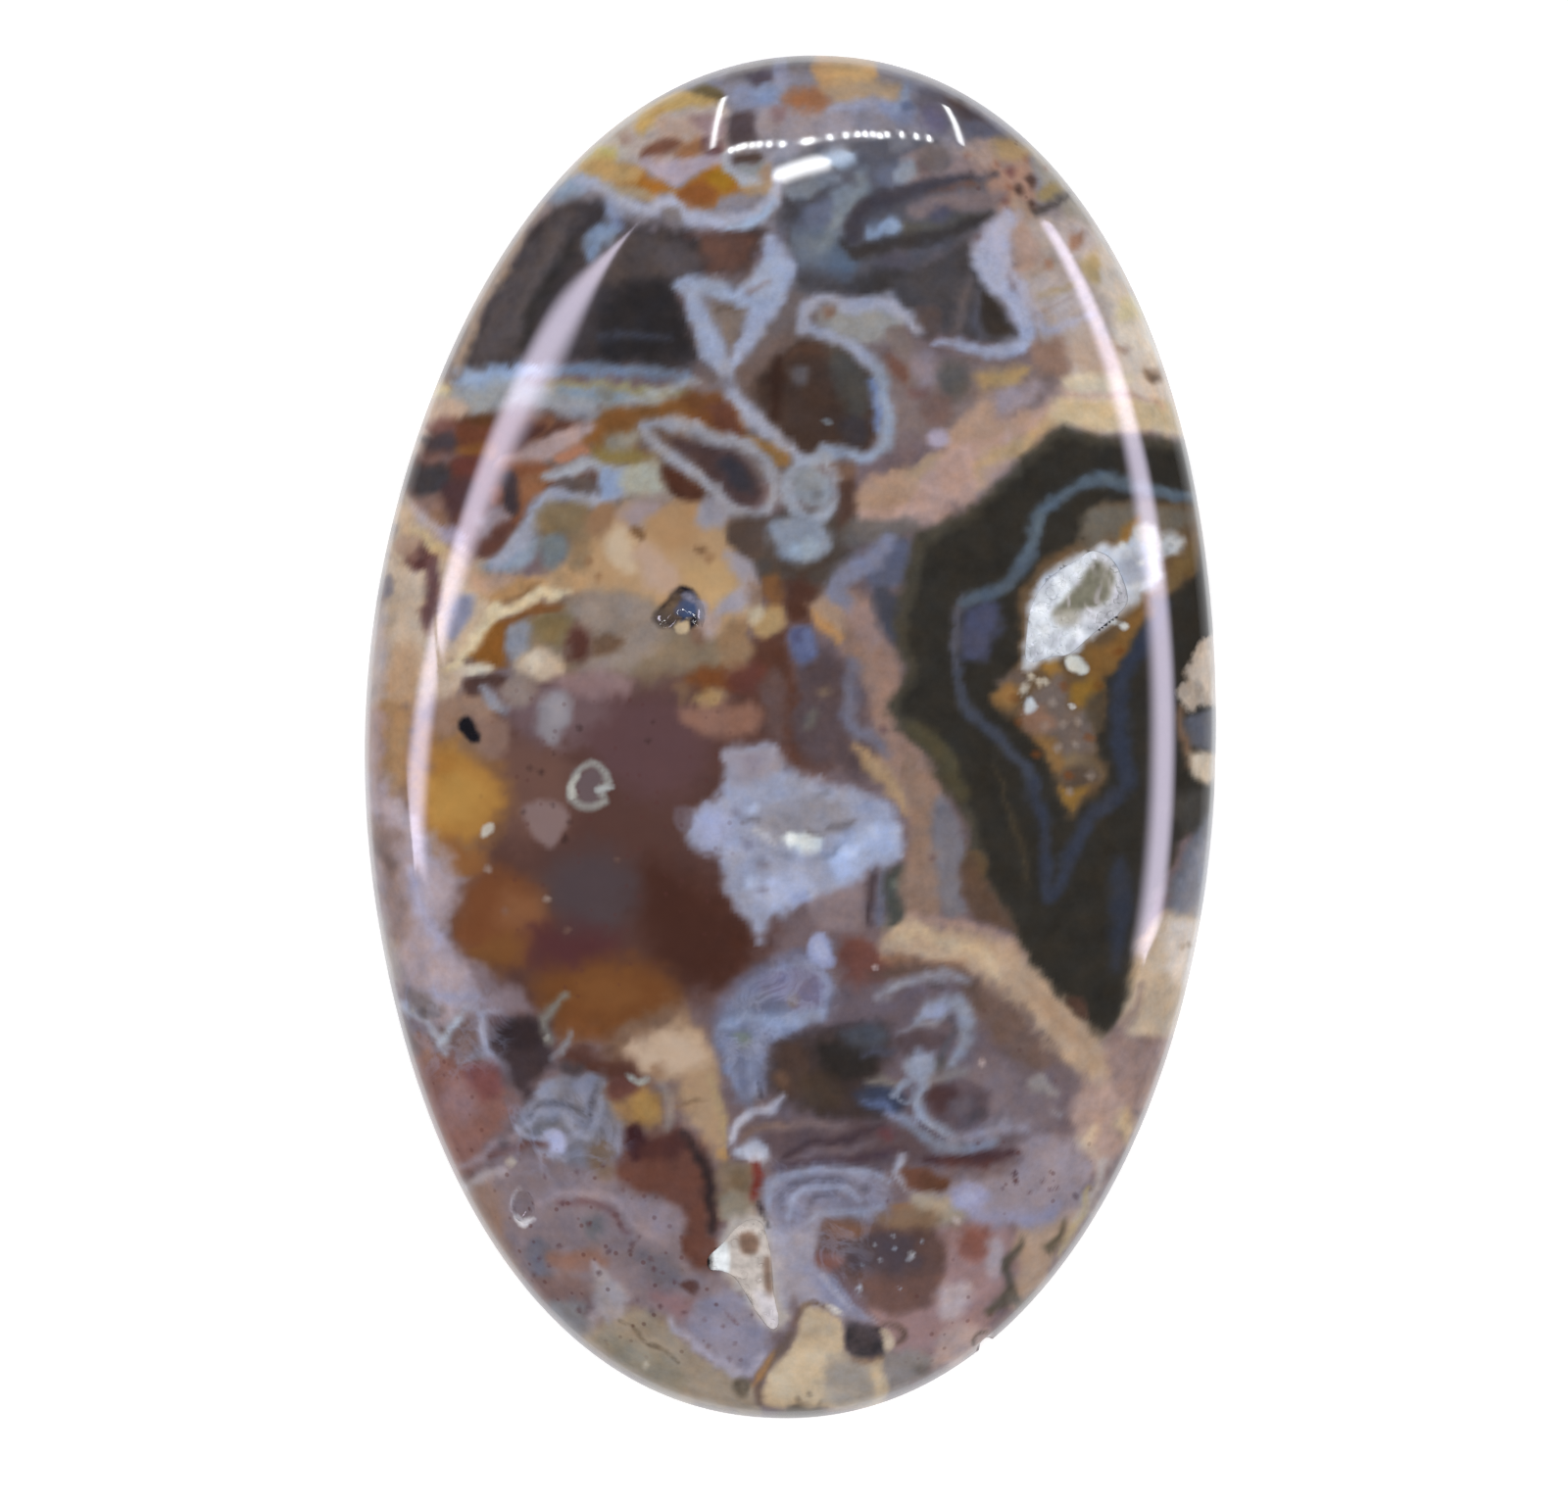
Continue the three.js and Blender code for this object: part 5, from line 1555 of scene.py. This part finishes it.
def brightness(tree, place, banded, lively, cloudiness):
    """A factor near 1 from growth bands, which run side by side, and from clouds."""
    sweeps = {"Vector": place, "Scale": per_metre(BAND_SWEEPS), "Detail": 1.5}
    phase = add(tree, "Math", {0: add(tree, "TexNoise", sweeps), 1: BAND_COUNT}, operation="MULTIPLY")
    band = add(tree, "Math", {0: phase}, operation="SINE")
    for factor in (BAND_CONTRAST, banded):
        band = add(tree, "Math", {0: band, 1: factor}, operation="MULTIPLY")
    clouds = {"Vector": place, "Scale": per_metre(CLOUDS), "Detail": 5.0, "Roughness": 0.66}
    reach = {"From Min": 0.3, "From Max": 0.7, "To Min": -cloudiness, "To Max": cloudiness}
    cloud = add(tree, "MapRange", {"Value": add(tree, "TexNoise", clouds), **reach})
    cloud = add(tree, "Math", {0: cloud, 1: lively}, operation="MULTIPLY")
    total = add(tree, "Math", {0: band, 1: cloud}, operation="ADD")
    return add(tree, "Math", {0: total, 1: 1.0}, operation="ADD")


def hue_drift(tree, place, lively):
    """Factors of red, green and blue that drift from warm iron to cool clear quartz."""
    hues = {"Vector": place, "Scale": per_metre(HUES), "Detail": 4.0, "Roughness": 0.6}
    hue = add(tree, "Math", {0: add(tree, "TexNoise", hues), 1: -0.5}, operation="ADD")
    hue = add(tree, "Math", {0: hue, 1: lively}, operation="MULTIPLY")
    hue = add(tree, "VectorMath", {0: WARMTH, "Scale": hue}, operation="SCALE")
    return add(tree, "VectorMath", {0: hue, 1: (1.0, 1.0, 1.0)}, operation="ADD")


def agate_finish(look, levels):
    """Polished chalcedony: glassy and smooth, with every marking inside it and not raised."""
    material, tree, shader = new_finish("polished_chalcedony")
    place = add(tree, "TexCoord").outputs["Object"]
    # Feathery edges of the plumes, from -2 to 2 in three channels
    lobes = {"Vector": place, "Scale": per_metre(PLUME_LOBES), "Detail": 4.0, "Roughness": 0.62}
    ragged = add(tree, "TexNoise", lobes).outputs["Color"]
    spread = {0: ragged, 1: (4.0, 4.0, 4.0), 2: (-2.0, -2.0, -2.0)}
    centred = add(tree, "VectorMath", spread, operation="MULTIPLY_ADD")
    channels = add(tree, "SeparateXYZ", {0: centred}).outputs
    patches = {"Vector": place, "Scale": per_metre(THIN_PATCHES), "Detail": 4.0}
    thinning = {"From Min": 0.36, "From Max": 0.56, "To Min": 0.62, "To Max": 1.0}
    patchy = add(tree, "MapRange", {"Value": add(tree, "TexNoise", patches), **thinning})
    colour = add(tree, "Attribute", attribute_name="ground").outputs["Color"]
    for number in range(levels):
        colour = lay_level(tree, colour, number, channels[number % 3], patchy)
    texture = add(tree, "Attribute", attribute_name="texture").outputs
    dotted, laced, banded = add(tree, "SeparateXYZ", {0: texture["Vector"]}).outputs
    lively = add(tree, "Math", {0: 1.0, 1: texture["Alpha"]}, operation="SUBTRACT")
    colour = lay_over(tree, colour, iron_dots(tree, place, dotted), linear_rgba(IRON_RED))
    colour = lay_over(tree, colour, lace(tree, place, laced), linear_rgba(LACE_PALE))
    bright = brightness(tree, place, banded, lively, look.cloudiness)
    colour = add(tree, "VectorMath", {0: colour, "Scale": bright}, operation="SCALE")
    hue = hue_drift(tree, place, lively)
    colour = add(tree, "VectorMath", {0: colour, 1: hue}, operation="MULTIPLY")
    tree.links.new(colour.outputs[0], shader.inputs["Base Color"])
    # The back and its bevel are only ground, and the dome is polished
    rise = {"From Min": POLISHED_FROM * MM, "From Max": POLISHED_TO * MM}
    rough = {"To Min": look.ground_roughness, "To Max": look.polish_roughness}
    height = add(tree, "SeparateXYZ", {0: place}).outputs[2]
    polish = add(tree, "MapRange", {"Value": height, **rise, **rough})
    tree.links.new(polish.outputs[0], shader.inputs["Roughness"])
    shader.inputs["IOR"].default_value = QUARTZ_IOR
    return material


def linear_rgba(colour):
    return (*to_linear(srgb(colour)), 1.0)


def druse_finish(look):
    """Drusy quartz: small clear points over a milky bed, bright where their faces catch light."""
    material, tree, shader = new_finish("drusy_quartz")
    place = add(tree, "TexCoord").outputs["Object"]
    base = add(tree, "Attribute", attribute_name="ground")
    grains = {"Vector": place, "Scale": per_metre(CRYSTAL_GRAINS), "Detail": 2.0}
    shades = {"From Min": 0.35, "From Max": 0.65, "To Min": 0.78, "To Max": 1.08}
    shade = add(tree, "MapRange", {"Value": add(tree, "TexNoise", grains), **shades})
    colour = add(tree, "VectorMath", {0: base, "Scale": shade}, operation="SCALE")
    tree.links.new(colour.outputs[0], shader.inputs["Base Color"])
    shader.inputs["Roughness"].default_value = look.crystal_roughness
    shader.inputs["IOR"].default_value = QUARTZ_IOR
    return material


def floor_finish(colour):
    """Matt white paper on a light table, so that it shows no shine and hardly any shadow."""
    material, tree, shader = new_finish("matt_paper")
    place = add(tree, "TexCoord").outputs["Object"]
    fibres = {"Vector": place, "Scale": per_metre(PAPER_FIBRES), "Detail": 3.0}
    tones = {"From Min": 0.3, "From Max": 0.7, "To Min": 0.985, "To Max": 1.0}
    tone = add(tree, "MapRange", {"Value": add(tree, "TexNoise", fibres), **tones})
    paper = add(tree, "VectorMath", {0: tuple(colour), "Scale": tone}, operation="SCALE")
    tree.links.new(paper.outputs[0], shader.inputs["Base Color"])
    settings = {
        "Roughness": 0.9,
        "Specular IOR Level": 0.0,
        "Emission Color": (1.0, 1.0, 1.0, 1.0),
        "Emission Strength": 0.4,
    }
    for name, value in settings.items():
        shader.inputs[name].default_value = value
    return material


# The quartz of the crusts, and the tints laid over it, with painted shade and a painted reflection
# in a small hole of the foot vug
MILKY_QUARTZ = "#d5d6dc"
CRUST_TINTS = read_markings(
    # Painted shade in a small hole at the foot vug's tip, and a painted reflection on its wall
    """
dfe4ec 6 1115,560 1078,582 1050,620 1046,678 1092,667 1120,640 1080,634 1110,590
flecks b4b8c2 14 s6 o.8 1056,668 1074,654 1094,658 1112,640 1130,632 1142,608 1066,596
flecks f2f5f8 11 s5 o.9 1062,622 1084,596 1100,580 1066,644 1100,646 1134,616
b5b5ba 6 o.8 1140,596 1152,604 1146,624 1122,636
7b7864 5 1118,573 1136,584 1134,605 1125,616 1106,622 1076,628 1086,612 1100,596
a9a394 6 o.8 1076,622 1100,622 1098,636 1080,638
cfc4bd 5 722,1284 750,1250 770,1240 790,1260 798,1352 780,1352 750,1310
2a2423 3 716,1273 725,1273 725,1296 716,1296
eef2f5 3 727,1273 742,1269 744,1298 730,1300
8a6c5a 4 754,1262 764,1257 774,1264 772,1278 758,1279
8f7464 4 779,1288 786,1286 788,1322 782,1326
ded8e0 6 o.8 770,1318 792,1326 796,1356 782,1350
"""
)


def crust_colours(places):
    """Milky quartz, with the bare olive floor in the middle of the larger vug."""
    colours = np.tile(srgb(MILKY_QUARTZ), (len(places), 1))
    for marking in CRUST_TINTS:
        near, distance = signed_distance(places, marking, marking["soft"])
        weight = weight_of(marking, distance)
        colours[near] += weight[:, None] * (srgb(marking["colour"]) - colours[near])
    return colours


class AgateStoneLook(bpy.types.PropertyGroup):
    """How the stone is polished."""

    polish_roughness: bpy.props.FloatProperty(
        name="Polish",
        description="Roughness of the polished dome",
        default=0.06,
        min=0.0,
        max=1.0,
        subtype="FACTOR",
    )
    ground_roughness: bpy.props.FloatProperty(
        name="Back",
        description="Roughness of the ground back and its bevel",
        default=0.38,
        min=0.0,
        max=1.0,
        subtype="FACTOR",
    )
    cloudiness: bpy.props.FloatProperty(
        name="Cloudiness",
        description="How far the clouds in the chalcedony lighten and darken it",
        default=0.2,
        min=0.0,
        max=0.5,
        subtype="FACTOR",
    )


class AgateCrustLook(bpy.types.PropertyGroup):
    """How the quartz in the vugs has grown."""

    shoulder_points: bpy.props.IntProperty(
        name="Shoulder points",
        description="Quartz points in the vug on the shoulder",
        default=120,
        min=0,
        max=500,
    )
    foot_points: bpy.props.IntProperty(
        name="Foot points",
        description="Quartz points in the narrow vug near the foot",
        default=36,
        min=0,
        max=500,
    )
    smallest: bpy.props.FloatProperty(
        name="Smallest",
        description="Radius of the smallest quartz points",
        default=0.09 * MM,
        min=0.01 * MM,
        unit="LENGTH",
        precision=5,
    )
    largest: bpy.props.FloatProperty(
        name="Largest",
        description="Radius of the largest quartz points",
        default=0.19 * MM,
        min=0.01 * MM,
        unit="LENGTH",
        precision=5,
    )
    crystal_roughness: bpy.props.FloatProperty(
        name="Faces",
        description="Roughness of the crystals' faces",
        default=0.34,
        min=0.0,
        max=1.0,
        subtype="FACTOR",
    )


class AgateStageLook(bpy.types.PropertyGroup):
    """The floor and light that the stone is seen in."""

    floor_size: bpy.props.FloatProperty(
        name="Floor",
        description="Side of the square floor",
        default=1.2,
        min=0.1,
        unit="LENGTH",
    )
    floor_colour: bpy.props.FloatVectorProperty(
        name="Floor colour",
        description="Colour of the floor",
        default=(0.92, 0.92, 0.92),
        min=0.0,
        max=1.0,
        subtype="COLOR",
    )
    ambient: bpy.props.FloatProperty(
        name="Ambient",
        description="Brightness of the soft light from all round, which leaves no highlight",
        default=0.6,
        min=0.0,
    )
    overhead: bpy.props.FloatProperty(
        name="Overhead",
        description="Brightness of the broad soft light above, which leaves no highlight either",
        default=1.17,
        min=0.0,
    )
    window: bpy.props.FloatProperty(
        name="Windows",
        description="Brightness of the lights that the polish reflects",
        default=11.0,
        min=0.0,
    )


# How far either side of a place the dome's slope is measured, in mm
SLOPE_STEP = 0.02


def mirrored(x, y, far):
    """The place in mm, so far off, that the dome shows the camera at a plan position."""
    spot = off_plan(np.array([[x, y]], float))
    step = SLOPE_STEP * np.eye(2)
    slope = (surface_height(spot + step) - surface_height(spot - step)) / (2 * SLOPE_STEP)
    point = Vector((*spot[0], surface_height(spot)[0]))
    sight = point - Vector((EYE_X, EYE_Y, EYE_RANGE + PLAN_LEVEL))
    away = sight.normalized().reflect(Vector((*-slope, 1)).normalized())
    return point + far * away


def add_light(name, shape, start, end, width, brightness, colour):
    """A strip of light between two places in mm, which faces the stone."""
    along = (end - start) * MM
    middle = (start + end) / 2 * MM
    away = middle - middle.project(along)
    turn = Matrix((along.cross(away).normalized(), along.normalized(), away.normalized()))
    light = bpy.data.lights.new(name, "AREA")
    light.shape = shape
    light.size = width * MM
    light.size_y = along.length
    # A flat light's power for a wanted brightness of its face
    light.energy = brightness * math.pi * light.size * light.size_y
    light.color = colour
    lamp = bpy.data.objects.new(name, light)
    lamp.matrix_world = Matrix.Translation(middle) @ turn.transposed().to_4x4()
    lamp.visible_camera = False
    bpy.context.scene.collection.objects.link(lamp)
    return lamp


def soften(light, shares, tips):
    """Lights a share of a strip's width at each end, soft to the sides and drawn to a tip."""
    light.use_nodes = True
    tree = light.node_tree
    place = add(tree, "NewGeometry").outputs["Parametric"]
    across, along = add(tree, "SeparateXYZ", {0: place}).outputs[:2]
    half = add(tree, "MapRange", {"Value": along, "To Min": shares[0] / 2, "To Max": shares[1] / 2})
    for near, tip in ((0.0, tips[0]), (1.0, 1.0 - tips[1])):
        drawn = add(tree, "MapRange", {"Value": along, "From Min": near, "From Max": tip}, **SMOOTH)
        half = add(tree, "Math", {0: half, 1: drawn}, operation="MULTIPLY")
    half = add(tree, "Math", {0: half, 1: 0.001}, operation="MAXIMUM")
    off = add(tree, "Math", {0: across, 1: -0.5}, operation="ADD")
    off = add(tree, "Math", {0: off}, operation="ABSOLUTE")
    off = add(tree, "Math", {0: off, 1: half}, operation="DIVIDE")
    glow = add(tree, "MapRange", {"Value": off, "From Min": 1.0, "From Max": 0.15}, **SMOOTH)
    tree.links.new(glow.outputs[0], tree.nodes["Emission"].inputs["Strength"])


COOL, PURE, SKY = (0.88, 0.8, 1.0), (0.97, 0.98, 1.0), (0.55, 0.75, 1.0)

# What the polish reflects: where both ends are seen on the plan with how far off each is in mm,
# the strip's width in mm, its brightness and its colour, and for a soft strip the shares of it
# lit at each end and the shares of its length that come to a tip
REFLECTED = (
    ("left_window", (655, 224, 292), (446, 657, 640), 108, 1.14, COOL, (0.95, 0.96), (0.24, 0.05)),
    ("left_pane", (445, 660, 600), (423, 890, 345), 105, 1.04, COOL, (1.0, 0.95), (0.04, 0.16)),
    ("right_window", (1066, 225, 745), (1167, 985, 244), 150, 1.12, COOL, (0.96, 0.62), (0.028, 0.018)),
    ("top_pane", (788, 182, 384), (849, 163, 374), 31, 2.4, PURE, (1.0, 1.0), (0.15, 0.15)),
    ("sky", (846, 167, 360), (872, 156, 360), 36, 0.9, SKY, (1.0, 0.9), (0.1, 0.3)),
    ("left_bar", (739, 99, 360), (727, 151, 440), 6, 2.2, PURE, None, None),
    ("right_bar", (965, 108, 380), (981, 147, 400), 9, 1.9, PURE, None, None),
    ("rail", (812, 146, 440), (850, 141, 440), 6, 0.5, PURE, None, None),
)
# Small lamps in a row, each seen as a dot: the width of each and how far off it is in mm, half its
# height on the plan, and its brightness
LAMP_WIDTH, LAMP_RANGE, LAMP_HALF, LAMP_BRIGHTNESS = 2.7, 440, 3.0, 7
LAMPS = (
    "746,153 753,151 759,149 767,148 775,147 785,147 798,147 821,145 827,143 847,140 863,138 875,137 "
    "883,137 891,137 898,138 905,137 920,137 935,139 948,141"
)

# The light table under the floor, and the broad light above, whose brightness is a setting: side
# and height in mm
TABLE_SIDE, TABLE_LEVEL, TABLE_BRIGHTNESS = 1800, -60, 0.65
OVERHEAD_SIDE, OVERHEAD_LEVEL = 600, 450


def add_panel(name, side, level, brightness):
    """A square light that faces the stone from straight above or below."""
    ends = Vector((0, -side / 2, level)), Vector((0, side / 2, level))
    return add_light(name, "RECTANGLE", *ends, side, brightness, PURE)


class AGATE_OT_stage(bpy.types.Operator):
    """Lay the floor, set the lights and stand the camera over the stone"""

    bl_idname = "agate.stage"
    bl_label = "Stage"

    def execute(self, context):
        look = context.scene.agate_stage
        form = bmesh.new()
        bmesh.ops.create_grid(form, x_segments=8, y_segments=8, size=look.floor_size / 2)
        mesh = bpy.data.meshes.new("floor")
        form.to_mesh(mesh)
        form.free()
        floor = bpy.data.objects.new("floor", mesh)
        floor.data.materials.append(floor_finish(look.floor_colour))
        context.scene.collection.objects.link(floor)
        world = bpy.data.worlds.new("room")
        world.use_nodes = True
        world.node_tree.nodes["Background"].inputs["Color"].default_value = (1, 1, 1, 1)
        world.node_tree.nodes["Background"].inputs["Strength"].default_value = look.ambient
        context.scene.world = world
        context.scene.view_settings.view_transform = "Standard"
        world.cycles_visibility.glossy = False
        for name, start, end, width, brightness, colour, shares, tips in REFLECTED:
            ends = mirrored(*start), mirrored(*end)
            strip = add_light(name, "RECTANGLE", *ends, width, brightness * look.window, colour)
            strip.visible_diffuse = False
            if shares:
                soften(strip.data, shares, tips)
        for number, (x, y) in enumerate(read_points(LAMPS.split())):
            ends = [mirrored(x, y + side, LAMP_RANGE) for side in (-LAMP_HALF, LAMP_HALF)]
            glow = LAMP_BRIGHTNESS * look.window
            lamp = add_light(f"lamp_{number}", "ELLIPSE", *ends, LAMP_WIDTH, glow, PURE)
            lamp.visible_diffuse = False
        floor.visible_glossy = False
        table = add_panel("light_table", TABLE_SIDE, TABLE_LEVEL, TABLE_BRIGHTNESS)
        table.data.spread = math.radians(150)
        table.visible_diffuse = False
        soft = add_panel("overhead", OVERHEAD_SIDE, OVERHEAD_LEVEL, look.overhead)
        soft.visible_glossy = False
        camera = bpy.data.cameras.new("camera")
        camera.lens = LENS
        camera.sensor_width = SENSOR
        eye = bpy.data.objects.new("camera", camera)
        eye.location = Vector((EYE_X, EYE_Y, EYE_RANGE + PLAN_LEVEL)) * MM
        context.scene.collection.objects.link(eye)
        context.scene.camera = eye
        return {"FINISHED"}


# Edges sharper than these stay crisp
STONE_CREASE, CRYSTAL_CREASE = math.radians(38), math.radians(20)


class AGATE_OT_stone(bpy.types.Operator):
    """Shape and colour the polished stone"""

    bl_idname = "agate.stone"
    bl_label = "Stone"

    def execute(self, context):
        stone = finished_piece("agate_stone", stone_form(), STONE_CREASE)
        levels = paint_markings(stone)
        stone.data.materials.append(agate_finish(context.scene.agate_stone, levels))
        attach(stone, "root")
        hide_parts("cabochon")
        print("stone:", len(stone.data.vertices), "vertices,", levels, "levels of markings")
        return {"FINISHED"}


class AGATE_OT_crusts(bpy.types.Operator):
    """Grow the quartz crusts in the two vugs"""

    bl_idname = "agate.crusts"
    bl_label = "Quartz crusts"

    def execute(self, context):
        look = context.scene.agate_crusts
        finish = druse_finish(look)
        sizes = (look.smallest / MM, look.largest / MM)
        crusts = (
            ("shoulder_crust", "shoulder_druse", SHOULDER_VUG, look.shoulder_points, 3),
            ("foot_crust", "foot_druse", FOOT_VUG, look.foot_points, 7),
        )
        for name, node, vug, points, seed in crusts:
            crust = finished_piece(name, crust_form(vug, points, sizes, seed), CRYSTAL_CREASE)
            store_ground(crust, crust_colours(plan_of_mesh(crust.data)))
            crust.data.materials.append(finish)
            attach(crust, "root")
            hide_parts(node)
        return {"FINISHED"}


class AGATE_PT_panel(bpy.types.Panel):
    """Sizes and steps of the agate cabochon"""

    bl_idname = "AGATE_PT_panel"
    bl_label = "Agate Cabochon"
    bl_space_type = "VIEW_3D"
    bl_region_type = "UI"
    bl_category = "Agate"

    def draw(self, context):
        scene = context.scene
        steps = (
            (scene.agate_stage, "agate.stage"),
            (scene.agate_stone, "agate.stone"),
            (scene.agate_crusts, "agate.crusts"),
        )
        for look, step in steps:
            box = self.layout.box()
            for name in look.__annotations__:
                box.prop(look, name)
            box.operator(step)


CLASSES = (
    AgateStoneLook,
    AgateCrustLook,
    AgateStageLook,
    AGATE_OT_stage,
    AGATE_OT_stone,
    AGATE_OT_crusts,
    AGATE_PT_panel,
)


def register():
    for kind in CLASSES:
        bpy.utils.register_class(kind)
    bpy.types.Scene.agate_stone = bpy.props.PointerProperty(type=AgateStoneLook)
    bpy.types.Scene.agate_crusts = bpy.props.PointerProperty(type=AgateCrustLook)
    bpy.types.Scene.agate_stage = bpy.props.PointerProperty(type=AgateStageLook)


def unregister():
    for name in ("agate_stone", "agate_crusts", "agate_stage"):
        delattr(bpy.types.Scene, name)
    for kind in reversed(CLASSES):
        bpy.utils.unregister_class(kind)


def plain(corners):
    """A box's corners as lists that JSON can hold."""
    return [[float(number) for number in corner] for corner in corners]


def main():
    register()
    bpy.ops.agate.stage()
    bpy.ops.agate.stone()
    bpy.ops.agate.crusts()


if __name__ == "__main__":
    main()
